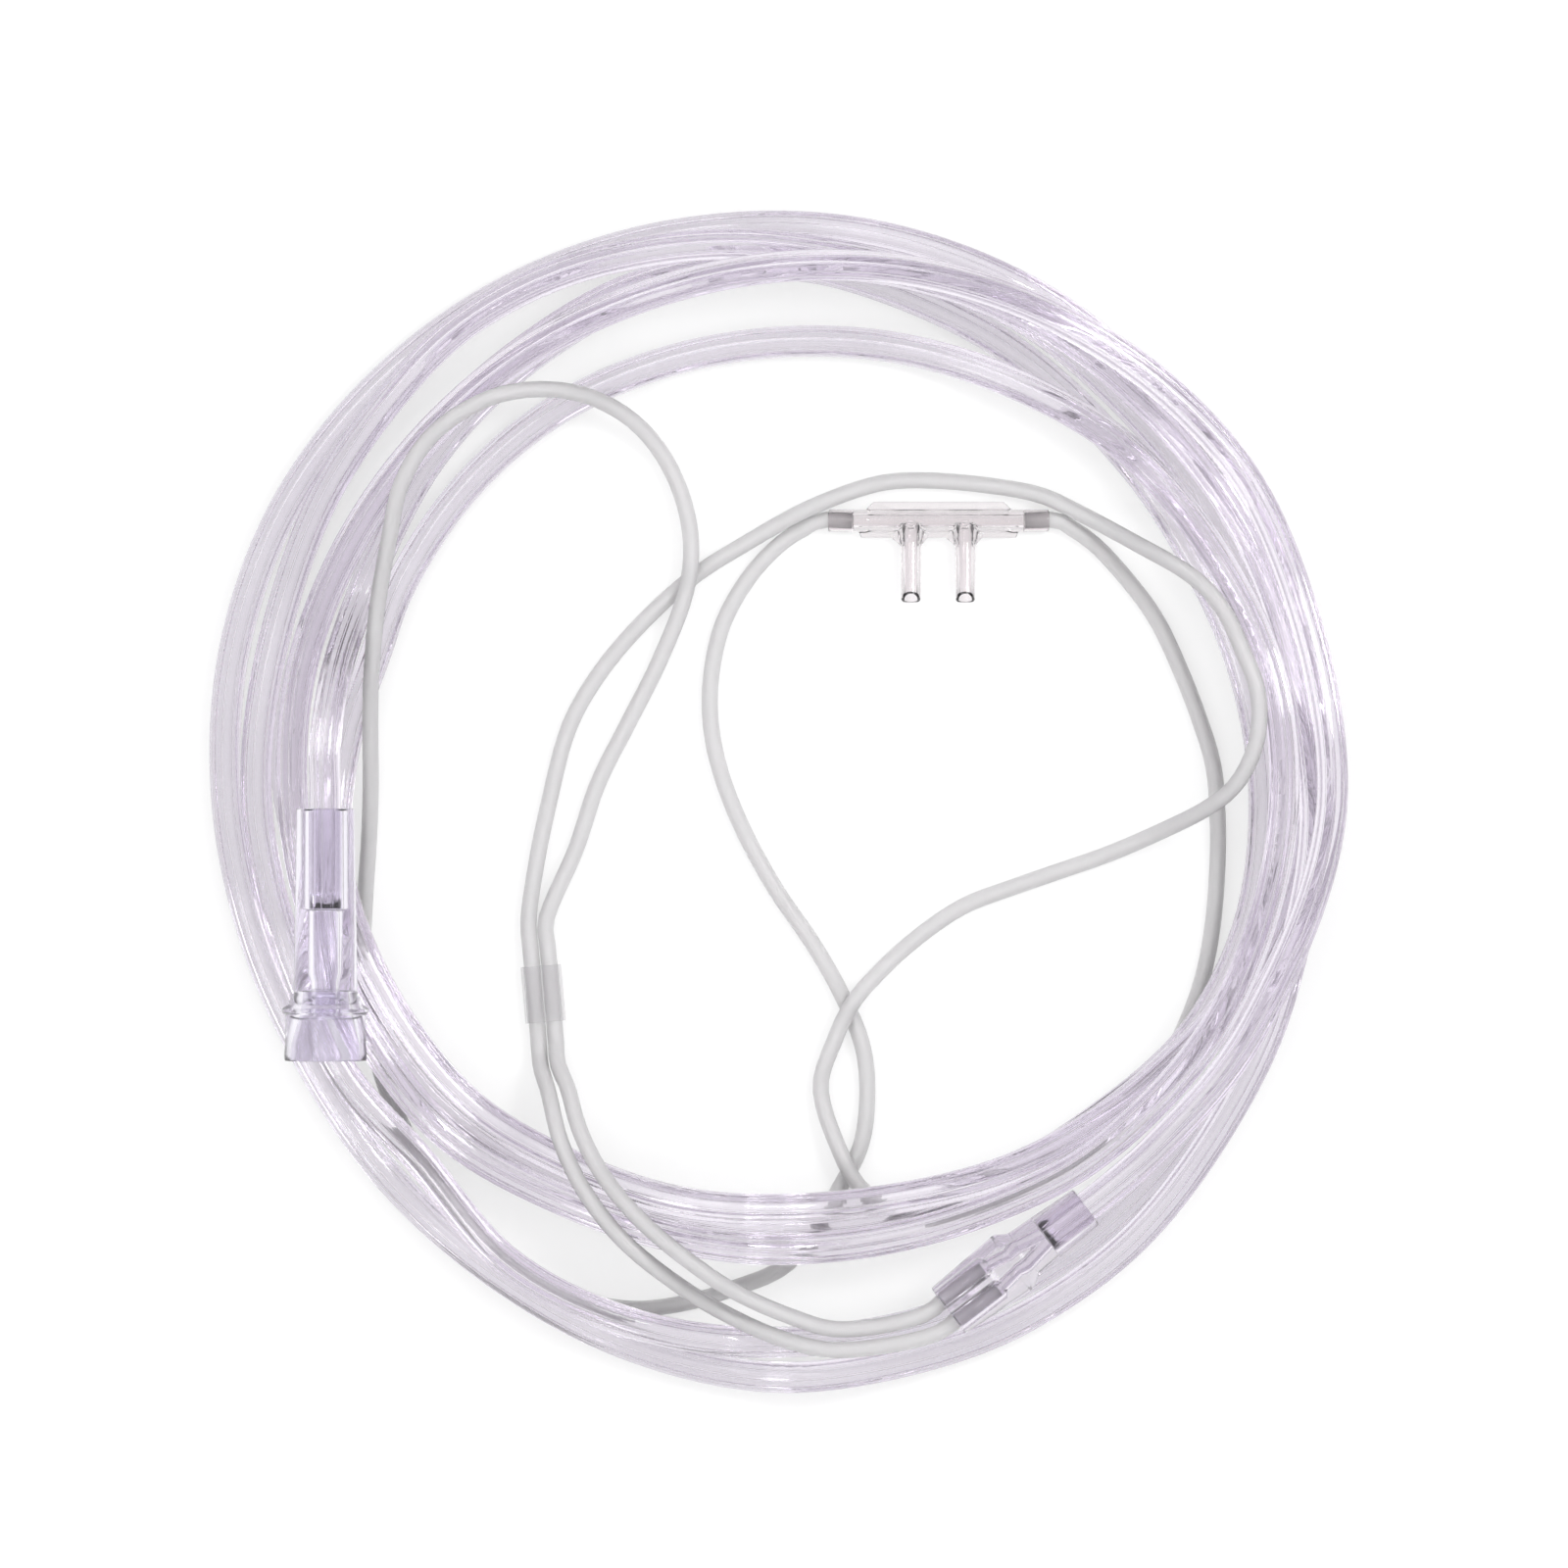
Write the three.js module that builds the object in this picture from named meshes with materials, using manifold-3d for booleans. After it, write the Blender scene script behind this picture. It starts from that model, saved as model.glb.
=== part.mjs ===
// Nasal oxygen cannula with its supply tube, lying loosely coiled on a level surface.
// Millimetres, +Z up. The origin is on the surface, under the middle of the coil.
import * as THREE from "three";
import Module from "manifold-3d";
import { mergeVertices } from "three/addons/utils/BufferGeometryUtils.js";

const wasm = await Module();
wasm.setup();

// Tubes
const supplyOuter = 7.4;
const lariatOuter = 3.8;
const fitGap = 0.3;
const cutSpare = 1;
const layGap = 0.6;
const tubeSides = 8;
const supplyStep = 13;
const lariatStep = 8;

// Nosepiece: a bar with an end socket for each lariat, a thin flange and two prongs
const noseMiddle = [37.8, 66.1];
const noseLength = 52;
const noseBarOuter = 4.9;
const noseBarBore = 2.4;
const socketOuter = 5.4;
const socketDepth = 6;
const socketLip = 9;
const flangeLength = 36.5;
const flangeAbove = 4.5;
const flangeBelow = 4;
const flangeThick = 0.9;
const flangeBulge = 2;
const flangeSlope = 3;
const prongSpacing = 12.8;
const prongOuter = 5;
const prongTipOuter = 4.6;
const prongBore = 3;
const prongReach = 19.2;
const prongRise = 2.4;
const prongOffCentre = -0.15;
const edgeRound = 0.4;

// Slider: a flat sleeve that holds both lariats side by side
const sliderMiddle = [-55.3, -45.3];
const sliderTurn = 5;
const sliderLength = 13.3;
const sliderWall = 0.5;
const sliderTravel = 5;
const lariatSpacing = 4.1;
const noseLead = 2.5;
const lariatLead = 5;
const straightRun = 5;

// Twin connector: two lariats enter its wide end, the supply tube its narrow end
const twinStart = [39.8, -119.1];
const twinTurn = 37;
const twinLength = 40.4;
const twinBodyLength = 20.6;
const twinStepLength = 3;
const twinRoot = 1;
const twinEndWidth = 13.3;
const twinStepWidth = 15.8;
const twinFlatness = 0.72;
const twinBoreSpacing = 5.4;
const twinSocketDepth = 13;
const twinBarrelOuter = 12.2;
const twinEndOuter = 10.2;
const twinPassage = 4.4;
const supplySocketDepth = 12;
const twinLead = 4;

// Supply connector: a long sleeve that opens into a flanged cup
const cupTop = [-105.6, -1.6];
const cupTurn = -90;
const cupLead = 6;
const cupLength = 58.9;
const sleeveOuter = 13.6;
const sleeveLowOuter = 15;
const sleeveLength = 43;
const cupFlangeAt = 46.6;
const cupFlangeOuter = 20.2;
const cupFlangeThick = 1.1;
const cupOuter = 19.3;
const cupMouthBore = 17.4;
const cupThroatBore = 10.6;
const cupThroatAt = 42.5;
const cupRoot = 0.6;
const cupTaper = 0.3;
const mouthLip = 4;
const stopAt = 23.6;
const sleeveBore = 6;
const nozzleOuter = 8.6;
const nozzleBore = 5;
const nozzleReach = 5.5;

// How a laid tube bends over what it crosses
const supplyCrest = 45;
const lariatCrest = 25;
const supplyEase = 10;
const lariatEase = 6;
const sampleStep = 3;
const endSamples = 5;
const mostLayers = 3;
const seekSlack = 60;
const seekShare = 1.2;

// The order of laying: a stretch rests on every stretch with a lower number that it crosses.
const BELOW_ALL = 0;
const LOOP_CROSSING = 0.5;
const HIDDEN_TURN = 1;
const MIDDLE_TURN = 2;
const OUTER_TURN = 3;
const CROSSING_TURN = 4;
const INNER_TURN = 5;
const TOP_TURN = 6;
const ABOVE_COIL = 8;
const ABOVE_ALL = 9;
const groupOrder = { nose: 0, slider: 1, twin: 5.5, cup: 7 };

// The supply tube's turns, from the twin connector to the supply connector: each row is a turn,
// with the order of laying and then pairs of angle in degrees and radius in millimetres.
const turns = [
  [TOP_TURN, [318, 119.9], [334, 123], [360, 129.3], [390, 132.3], [405, 132.5], [420, 130.4],
    [435, 127.9], [450, 124.9], [465, 122.4], [480, 120.5], [495, 118.4], [510, 117], [525, 116],
    [540, 113.9], [555, 112], [570, 110.6], [585, 110.2], [600, 106.7], [615, 104.9], [630, 104.9]],
  [INNER_TURN, [285, 105.8], [300, 108.1], [312, 111.1], [330, 114.5], [345, 116.6], [360, 118.2],
    [375, 118.9], [390, 117.5], [405, 116.4], [420, 112.9], [435, 110.4], [450, 108.1], [465, 106.7],
    [480, 105.8], [495, 104.2], [510, 102.3], [520, 100.8], [532, 102.6], [545, 104.4], [555, 104.2],
    [570, 102.6], [585, 101.4], [600, 98.2], [615, 96.6], [630, 95.5]],
  [OUTER_TURN, [285, 96.8], [300, 101.2], [311, 104.9], [325, 110.4], [340, 117.3], [360, 123.3],
    [384, 127.4], [405, 130], [420, 132.9], [435, 134.3], [450, 135.2], [465, 135.7], [480, 135.9],
    [495, 135.7], [510, 135], [525, 132.7], [540, 129.7], [555, 127.2], [570, 126], [585, 127.4],
    [600, 129.3], [615, 132.7], [630, 135.4]],
  [CROSSING_TURN, [288, 135], [300, 133.9], [312, 131.8], [330, 127.9], [342, 125.8], [360, 125.4],
    [390, 126.5], [420, 128.3], [450, 130], [468, 133.4], [480, 134.3], [490, 132.5], [510, 127.4],
    [540, 122.6], [570, 120.3], [585, 119.1], [600, 125.4], [615, 127.3], [630, 127.2]],
  [MIDDLE_TURN, [285, 127.1], [300, 126.5], [315, 125.4], [330, 123], [345, 121.9], [360, 121.9],
    [390, 123], [420, 127], [435, 127.5], [450, 126], [465, 125.4], [480, 121.3], [495, 118.4],
    [510, 117.2], [525, 116.5], [540, 115], [570, 108.1], [585, 105.8], [600, 102.4], [615, 100.5],
    [630, 100.3]],
  [HIDDEN_TURN, [285, 101.2], [300, 102.6], [312, 105.1], [330, 111.6], [345, 114.4], [360, 114.4],
    [375, 113.8], [389, 113.4], [404, 115.2], [424, 120], [445, 125.6], [455, 126], [465, 124.2],
    [480, 119.6], [495, 115], [510, 110.1], [519, 108.4]],
];

// The way up from the last turn to the supply connector, in degrees and millimetres
const cupRise = [ABOVE_COIL, [526, 107.3], [534, 106.4]];

// The lariats' points, from the nosepiece to the slider and on to the twin connector,
// in millimetres, each list with the order of laying of that stretch.
const leftLariatRoute = [
  [BELOW_ALL, [7.5, 65], [2, 61.8], [-5.5, 54.5], [-12.5, 43], [-15.5, 31.5], [-16, 20],
    [-14, 8.5], [-9, -5], [-1, -20], [8.5, -34], [15, -45.5], [20, -58], [21, -69.5],
    [19.5, -81], [14.5, -91],
    [8.5, -101], [1.5, -109.5], [-11.5, -115], [-21.5, -118], [-33, -119.5], [-44.5, -118],
    [-54, -114.5], [-67.5, -104], [-78, -93], [-86, -81], [-92.5, -67], [-96.5, -51],
    [-97.8, -38], [-97.3, -24], [-96.4, -10], [-96, -2]],
  [ABOVE_COIL, [-95.8, 6], [-95.8, 18], [-95.5, 29.5], [-94, 45.5], [-91, 61.5],
    [-88.5, 73], [-83.5, 82.5], [-77, 89], [-65.5, 95], [-54, 96.5], [-44.5, 95], [-35.5, 90.5],
    [-28.5, 83.5], [-23, 73]],
  [ABOVE_ALL, [-20.5, 61.5], [-21.5, 50], [-27.5, 34], [-35.5, 18], [-42.5, 4], [-47.5, -11]],
];
const rightLariatRoute = [
  [LOOP_CROSSING, [68.5, 64.7], [74, 61], [82, 52.5], [89, 43], [94.5, 31.5], [99, 20], [102.5, 8.5],
    [103.5, -3], [103.5, -14.5], [102.5, -28], [100.5, -39.5], [97.5, -49], [92, -60.5],
    [83, -72], [70.5, -82], [56.5, -90], [41.5, -95.5], [28, -96], [19.5, -91], [14, -81],
    [10, -67], [13, -57], [17.5, -47.5], [24.5, -39.5], [33.5, -31.5], [44, -24.5], [54.5, -20.5],
    [66, -16.5], [77.5, -12.5], [89, -7.5]],
  [ABOVE_COIL, [100.5, -1.5], [107, 4], [111.5, 13.5], [112, 25], [108.5, 35], [103.5, 45.5],
    [97, 52.5], [84, 60.5], [71.5, 67.5], [62, 72], [49.5, 74.4], [34.5, 75.6], [24.5, 75],
    [8.5, 69.5], [-8, 60.5], [-20.5, 52.5], [-33, 41], [-42.5, 29.5], [-49, 18], [-54, -0.5],
    [-57.3, -17]],
];
const leftLariatEnd = [ABOVE_COIL, [-49.5, -67], [-46.5, -77], [-41, -87.5], [-32, -98],
  [-20, -108], [-9.5, -115], [3, -120.5], [14, -123.4]];
const rightLariatEnd = [ABOVE_COIL, [-54, -68], [-51, -79.5], [-45.5, -91], [-36.5, -102.5],
  [-23.5, -113.2], [-13, -119.8], [1, -125.8], [14, -128.3]];

const supplyRadius = supplyOuter / 2;
const lariatRadius = lariatOuter / 2;
const noseHeight = socketOuter / 2;
const socketBore = lariatOuter + 2 * fitGap;
const sliderBoreHeight = lariatOuter + 2 * fitGap;
const sliderBoreWidth = lariatSpacing + sliderBoreHeight;
const sliderHeight = sliderBoreHeight + 2 * sliderWall;
const sliderWidth = sliderBoreWidth + 2 * sliderWall;
const supplySocketBore = supplyOuter + 2 * fitGap;

// The point at a distance along and beside a line through start, turned by an angle in degrees
function pointOnLine(start, turn, along, beside = 0) {
  const angle = THREE.MathUtils.degToRad(turn);
  const x = start[0] + along * Math.cos(angle) - beside * Math.sin(angle);
  const y = start[1] + along * Math.sin(angle) + beside * Math.cos(angle);
  return [x, y];
}

// Points a tube passes on its way through a straight rigid piece
function straightPoints(start, turn, from, to, beside = 0) {
  const count = Math.max(1, Math.round(Math.abs(to - from) / (2 * sampleStep)));
  const points = [];
  for (let index = 0; index <= count; index += 1) {
    points.push(pointOnLine(start, turn, from + ((to - from) * index) / count, beside));
  }
  return points;
}

// A smooth flat line through the points, cut into even steps
function evenSteps(points) {
  const curve = new THREE.CatmullRomCurve3(points.map(([x, y]) => new THREE.Vector3(x, y, 0)));
  curve.arcLengthDivisions = points.length * 40;
  return curve.getSpacedPoints(Math.round(curve.getLength() / sampleStep));
}

// The nearest sample of a laid line to a point
function nearest(samples, [x, y]) {
  let best = 0;
  samples.forEach((sample, index) => {
    const distance = Math.hypot(sample.x - x, sample.y - y);
    if (distance < Math.hypot(samples[best].x - x, samples[best].y - y)) best = index;
  });
  return best;
}

// A route laid flat: its samples carry their radius, order of laying and rigid group
function flatRoute(stretches, radius) {
  const points = stretches.flatMap((part) => part.points);
  const samples = evenSteps(points).map(({ x, y }) => ({ x, y, radius, order: 0, group: null }));
  let from = 0;
  for (const part of stretches) {
    const last = part.points[part.points.length - 1];
    const ahead = samples.slice(from, from + Math.ceil(part.reach / sampleStep));
    const to = from + nearest(ahead, last);
    for (let index = from; index <= to; index += 1) {
      samples[index].order = groupOrder[part.group] ?? part.order;
      samples[index].group = part.group ?? null;
    }
    from = to;
  }
  return samples;
}

// A stretch of a route, with how far along the line its last point is looked for
function stretch(order, points, group) {
  let reach = seekSlack;
  for (let index = 1; index < points.length; index += 1) {
    const [before, here] = [points[index - 1], points[index]];
    reach += seekShare * Math.hypot(here[0] - before[0], here[1] - before[1]);
  }
  return { order, points, group, reach };
}

function polarPoint([degrees, radius]) {
  const angle = THREE.MathUtils.degToRad(degrees);
  return [radius * Math.cos(angle), radius * Math.sin(angle)];
}

function supplyStretches() {
  const twinStop = twinLength - supplySocketDepth + fitGap;
  const twinExit = straightPoints(twinStart, twinTurn, twinStop, twinLength + twinLead);
  const cupEntry = straightPoints(cupTop, cupTurn, -cupLead, stopAt - fitGap);
  const coil = turns.map(([order, ...pairs]) => stretch(order, pairs.map(polarPoint)));
  const rise = stretch(cupRise[0], cupRise.slice(1).map(polarPoint));
  return [stretch(TOP_TURN, twinExit, "twin"), ...coil, rise, stretch(ABOVE_COIL, cupEntry, "cup")];
}

function lariatStretches(side, start, route, end) {
  const half = sliderLength / 2 + sliderTravel + straightRun;
  const besideSlider = (side * lariatSpacing) / 2;
  const besideTwin = (side * twinBoreSpacing) / 2;
  const inSlider = straightPoints(sliderMiddle, sliderTurn - 90, -half, half, besideSlider);
  const inTwin = straightPoints(twinStart, twinTurn, -lariatLead, twinSocketDepth - fitGap, besideTwin);
  return [
    stretch(LOOP_CROSSING, start, "nose"),
    ...route.map(([order, ...points]) => stretch(order, points)),
    stretch(ABOVE_COIL, inSlider, "slider"),
    stretch(end[0], end.slice(1)),
    stretch(ABOVE_COIL, inTwin, "twin"),
  ];
}

// The footprint of a rigid piece: samples along its axis, each as wide as the piece is there
function footprint(start, turn, length, group, radiusAt) {
  const samples = [];
  for (let along = 0; along <= length; along += sampleStep) {
    const [x, y] = pointOnLine(start, turn, along);
    samples.push({ x, y, radius: radiusAt(along), order: groupOrder[group], group });
  }
  return samples;
}

// Lifts one stretch of a line: it falls away from each crest along an arc, and its kinks are eased.
function drape(line, order) {
  const thin = line[0].radius < supplyRadius;
  const crest = thin ? lariatCrest : supplyCrest;
  const reach = Math.ceil(Math.sqrt(2 * crest * supplyOuter * mostLayers) / sampleStep);
  const ease = Math.round((thin ? lariatEase : supplyEase) / sampleStep);
  const near = (index, span) => line.slice(Math.max(0, index - span), index + span + 1);
  for (const [index, sample] of line.entries()) {
    if (sample.order !== order) continue;
    sample.crest = sample.need;
    for (const other of near(index, reach)) {
      const away = (other.index - index) * sampleStep;
      const fallen = other.need - (away * away) / (2 * crest);
      if (other.order <= order) sample.crest = Math.max(sample.crest, fallen);
    }
  }
  for (const [index, sample] of line.entries()) {
    if (sample.order !== order) continue;
    const settled = near(index, ease).filter((other) => other.order <= order);
    const mean = settled.reduce((sum, other) => sum + other.crest, 0) / settled.length;
    sample.z = sample.group ? sample.need : mean;
  }
}

// What a sample lies on: every sample laid earlier that it crosses, and the lift over it
function crossings(samples) {
  const pairs = [];
  for (const upper of samples) {
    for (const lower of samples) {
      const reach = upper.radius + lower.radius + layGap;
      const flat = Math.hypot(upper.x - lower.x, upper.y - lower.y);
      const joined = lower.group !== null && upper.joins === lower.group;
      if (upper.order > lower.order && flat < reach && !joined) {
        pairs.push({ upper, lower, lift: Math.sqrt(reach * reach - flat * flat) });
      }
    }
  }
  return pairs;
}

function settle(lines) {
  const samples = lines.flat();
  const floor = { nose: noseHeight, slider: sliderHeight / 2 };
  for (const line of lines) {
    for (const [index, sample] of line.entries()) {
      const around = line.slice(Math.max(0, index - endSamples), index + endSamples + 1);
      sample.index = index;
      sample.joins = around.find((other) => other.group)?.group ?? null;
    }
  }
  for (const sample of samples) sample.need = Math.max(sample.radius, floor[sample.group] ?? 0);
  const pairs = crossings(samples);
  const orders = [...new Set(samples.map((sample) => sample.order))].sort((one, two) => one - two);
  for (const order of orders) {
    for (const { upper, lower, lift } of pairs) {
      if (upper.order === order) upper.need = Math.max(upper.need, lower.z + lift);
    }
    for (const group of Object.keys(groupOrder)) {
      const bound = samples.filter((sample) => sample.group === group);
      const height = Math.max(...bound.map((sample) => sample.need));
      for (const sample of bound) sample.need = height;
    }
    for (const line of lines) drape(line, order);
  }
}

// The outlines that both the pieces and their footprints follow
function twinRadiusAt(along) {
  if (along < twinBodyLength) {
    return (twinFlatness * THREE.MathUtils.lerp(twinEndWidth, twinStepWidth, along / twinBodyLength)) / 2;
  }
  const share = (along - twinBodyLength) / (twinLength - twinBodyLength);
  return THREE.MathUtils.lerp(twinBarrelOuter, twinEndOuter, share) / 2;
}

function cupRadiusAt(along) {
  if (along > sleeveLength) return cupFlangeOuter / 2;
  return THREE.MathUtils.lerp(sleeveOuter, sleeveLowOuter, along / sleeveLength) / 2;
}

const noseStart = pointOnLine(noseMiddle, 0, -noseLength / 2);
const noseEnd = pointOnLine(noseMiddle, 0, noseLength / 2);
const leftStart = straightPoints(noseStart, 180, -socketDepth + fitGap, noseLead);
const rightStart = straightPoints(noseEnd, 0, -socketDepth + fitGap, noseLead);

const supplyLine = flatRoute(supplyStretches(), supplyRadius);
const leftStretches = lariatStretches(1, leftStart, leftLariatRoute, leftLariatEnd);
const rightStretches = lariatStretches(-1, rightStart, rightLariatRoute, rightLariatEnd);
const leftLine = flatRoute(leftStretches, lariatRadius);
const rightLine = flatRoute(rightStretches, lariatRadius);
const noseFoot = footprint(noseStart, 0, noseLength, "nose", () => socketOuter / 2);
const twinFoot = footprint(twinStart, twinTurn, twinLength, "twin", twinRadiusAt);
const cupFoot = footprint(cupTop, cupTurn, cupLength, "cup", cupRadiusAt);
settle([supplyLine, leftLine, rightLine, noseFoot, twinFoot, cupFoot]);
const twinHeight = twinFoot[0].need;
const cupHeight = cupFoot[0].need;

// Solids
function solidOf(geometry) {
  const bare = geometry.index ? geometry.toNonIndexed() : geometry.clone();
  bare.deleteAttribute("normal");
  bare.deleteAttribute("uv");
  const merged = mergeVertices(bare, 1e-3);
  const mesh = new wasm.Mesh({
    numProp: 3,
    vertProperties: new Float32Array(merged.attributes.position.array),
    triVerts: new Uint32Array(merged.index.array),
  });
  return new wasm.Manifold(mesh);
}

function geometryOf(solid) {
  const mesh = solid.getMesh();
  const geometry = new THREE.BufferGeometry();
  geometry.setAttribute("position", new THREE.BufferAttribute(mesh.vertProperties, 3));
  geometry.setIndex(new THREE.BufferAttribute(mesh.triVerts, 1));
  geometry.computeVertexNormals();
  return geometry;
}

function roundSection(radius, sides) {
  const shape = new THREE.Shape();
  for (let side = 0; side <= sides; side += 1) {
    const angle = (Math.PI * (2 * side + 1)) / sides;
    const [x, y] = [radius * Math.cos(angle), radius * Math.sin(angle)];
    if (side === 0) shape.moveTo(x, y);
    else shape.lineTo(x, y);
  }
  return shape;
}

// A turned shape about the Y axis, from pairs of radius and distance along it
function turned(profile, sides = 32) {
  return new THREE.LatheGeometry(profile.map(([radius, along]) => new THREE.Vector2(radius, along)), sides);
}

function extruded(shape, depth, curveSegments) {
  return new THREE.ExtrudeGeometry(shape, { depth, bevelEnabled: false, curveSegments });
}

// A turned rod along +Y, from one distance to another
function rod(outer, from, to, sides = 24) {
  return turned([[0, from], [outer / 2, from], [outer / 2, to], [0, to]], sides);
}

function tubeAlong(line, outer, step) {
  const curve = new THREE.CatmullRomCurve3(line.map(({ x, y, z }) => new THREE.Vector3(x, y, z)));
  curve.arcLengthDivisions = line.length * 8;
  const steps = Math.round(curve.getLength() / step);
  const section = roundSection(outer / 2, tubeSides);
  return new THREE.ExtrudeGeometry(section, { extrudePath: curve, steps, bevelEnabled: false });
}

function placed(mesh, [x, y], z, turn) {
  mesh.position.set(x, y, z);
  mesh.rotation.z = THREE.MathUtils.degToRad(turn);
  return mesh;
}

// Materials
function clearPlastic(color, roughness, opacity) {
  return new THREE.MeshStandardMaterial({ color, roughness, metalness: 0, transparent: true, opacity });
}
const clearLilac = () => clearPlastic(0xdcd4e4, 0.18, 0.7);
const milkyWhite = () => clearPlastic(0xebe9ea, 0.3, 0.85);
const clearSoft = () => clearPlastic(0xe6e0e4, 0.25, 0.75);
const clearGrey = () => clearPlastic(0xb9b2c6, 0.15, 0.7);
const clearViolet = () => clearPlastic(0xd7d2e4, 0.12, 0.65);

// Turns a shape made along +Y into a prong: it leaves the bar towards -Y and rises to its open tip
function asProng(geometry, side) {
  const rise = Math.atan(prongRise / prongReach);
  return geometry.rotateX(Math.PI - rise).translate(prongOffCentre + (side * prongSpacing) / 2, 0, 0);
}

function nosepiece() {
  const barEnd = noseLength / 2 - socketLip / 2;
  const bar = solidOf(rod(noseBarOuter, -barEnd, barEnd, 20).rotateZ(-Math.PI / 2));
  const half = flangeLength / 2;
  const outline = new THREE.Shape();
  outline.moveTo(-half, -flangeBelow);
  outline.lineTo(half, -flangeBelow);
  outline.quadraticCurveTo(half + flangeBulge, 0, half - flangeSlope, flangeAbove);
  outline.lineTo(-half + flangeSlope, flangeAbove);
  outline.quadraticCurveTo(-half - flangeBulge, 0, -half, -flangeBelow);
  const flange = extruded(outline, flangeThick, 6).translate(0, 0, -flangeThick / 2);
  let body = bar.add(solidOf(flange));
  const ends = [-1, 1];
  for (const end of ends) {
    const socket = rod(socketOuter, noseLength / 2 - socketLip, noseLength / 2, 20);
    body = body.add(solidOf(socket.rotateZ((-end * Math.PI) / 2)));
    const wall = turned([
      [0, 0], [prongOuter / 2, 0], [prongTipOuter / 2, prongReach - edgeRound],
      [prongTipOuter / 2 - edgeRound, prongReach], [0, prongReach],
    ], 20);
    body = body.add(solidOf(asProng(wall, end)));
  }
  const reachThrough = noseLength / 2 - socketDepth + cutSpare;
  body = body.subtract(solidOf(rod(noseBarBore, -reachThrough, reachThrough, 12).rotateZ(-Math.PI / 2)));
  for (const end of ends) {
    const socket = rod(socketBore, noseLength / 2 - socketDepth, noseLength / 2 + cutSpare, 20);
    body = body.subtract(solidOf(socket.rotateZ((-end * Math.PI) / 2)));
    body = body.subtract(solidOf(asProng(rod(prongBore, 0, prongReach + cutSpare, 16), end)));
  }
  const mesh = new THREE.Mesh(geometryOf(body), clearSoft());
  return placed(mesh, noseMiddle, noseHeight, 0);
}

function stadium(width, height) {
  const half = (width - height) / 2;
  const shape = new THREE.Shape();
  shape.moveTo(-half, -height / 2);
  shape.lineTo(half, -height / 2);
  shape.absarc(half, 0, height / 2, -Math.PI / 2, Math.PI / 2, false);
  shape.lineTo(-half, height / 2);
  shape.absarc(-half, 0, height / 2, Math.PI / 2, (3 * Math.PI) / 2, false);
  return shape;
}

function slider() {
  const section = stadium(sliderWidth, sliderHeight);
  section.holes.push(stadium(sliderBoreWidth, sliderBoreHeight));
  const geometry = extruded(section, sliderLength, 10);
  geometry.translate(0, 0, -sliderLength / 2).rotateX(Math.PI / 2);
  return placed(new THREE.Mesh(geometry, clearSoft()), sliderMiddle, sliderHeight / 2, sliderTurn);
}

function twinConnector() {
  const [end, step, barrel, narrow] = [twinEndWidth, twinStepWidth, twinBarrelOuter, twinEndOuter];
  const bodyEnd = twinBodyLength + twinStepLength / 2;
  const body = turned([
    [0, 0], [end / 2 - edgeRound, 0], [end / 2, edgeRound],
    [step / 2, twinBodyLength - twinStepLength / 2], [barrel / 2, bodyEnd],
    [barrel / 2 - twinRoot, bodyEnd + twinRoot], [0, bodyEnd + twinRoot],
  ]).scale(1, 1, twinFlatness);
  const neck = turned([
    [0, twinBodyLength - twinStepLength], [barrel / 2 - 2 * twinRoot, twinBodyLength - twinStepLength],
    [barrel / 2, twinBodyLength], [narrow / 2, twinLength - edgeRound],
    [narrow / 2 - edgeRound, twinLength], [0, twinLength],
  ]);
  const socketFrom = twinLength - supplySocketDepth;
  const passage = rod(twinPassage, twinSocketDepth - cutSpare, socketFrom + cutSpare);
  let solid = solidOf(body).add(solidOf(neck));
  solid = solid.subtract(solidOf(rod(supplySocketBore, socketFrom, twinLength + cutSpare)));
  solid = solid.subtract(solidOf(passage));
  for (const side of [-1, 1]) {
    const bore = rod(socketBore, -cutSpare, twinSocketDepth, 20);
    solid = solid.subtract(solidOf(bore.translate((side * twinBoreSpacing) / 2, 0, 0)));
  }
  return placed(new THREE.Mesh(geometryOf(solid), clearGrey()), twinStart, twinHeight, twinTurn - 90);
}

function supplyConnector() {
  const [sleeve, low] = [sleeveOuter / 2, sleeveLowOuter / 2];
  const [flange, cup] = [cupFlangeOuter / 2, cupOuter / 2];
  const [mouth, throat] = [cupMouthBore / 2, cupThroatBore / 2];
  const [nozzle, nozzleHole] = [nozzleOuter / 2, nozzleBore / 2];
  const flangeEnd = cupFlangeAt + cupFlangeThick;
  const nozzleEnd = cupThroatAt + nozzleReach;
  const outside = [
    [sleeve - edgeRound, 0], [sleeve, edgeRound], [low, sleeveLength],
    [low + cupRoot, sleeveLength + 2 * cupRoot], [flange - edgeRound, cupFlangeAt - edgeRound],
    [flange, cupFlangeAt], [flange, flangeEnd], [cup, flangeEnd + cupRoot / 2],
    [cup - cupTaper, cupLength - mouthLip], [cup, cupLength],
  ];
  const inside = [
    [mouth, cupLength], [mouth - 2 * cupTaper, cupLength - mouthLip],
    [throat + cupTaper, cupThroatAt + mouthLip], [throat, cupThroatAt], [nozzle, cupThroatAt],
    [nozzle, nozzleEnd], [nozzleHole, nozzleEnd], [nozzleHole, cupThroatAt - mouthLip / 2],
    [sleeveBore / 2, cupThroatAt - mouthLip], [sleeveBore / 2, stopAt],
    [supplySocketBore / 2, stopAt], [supplySocketBore / 2, 0],
  ];
  const solid = solidOf(turned([...outside, ...inside, outside[0]], 36));
  const mesh = new THREE.Mesh(geometryOf(solid), clearViolet());
  return placed(mesh, cupTop, cupHeight, cupTurn - 90);
}

const supplyTube = () => new THREE.Mesh(tubeAlong(supplyLine, supplyOuter, supplyStep), clearLilac());
const lariat = (line) => new THREE.Mesh(tubeAlong(line, lariatOuter, lariatStep), milkyWhite());

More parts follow.
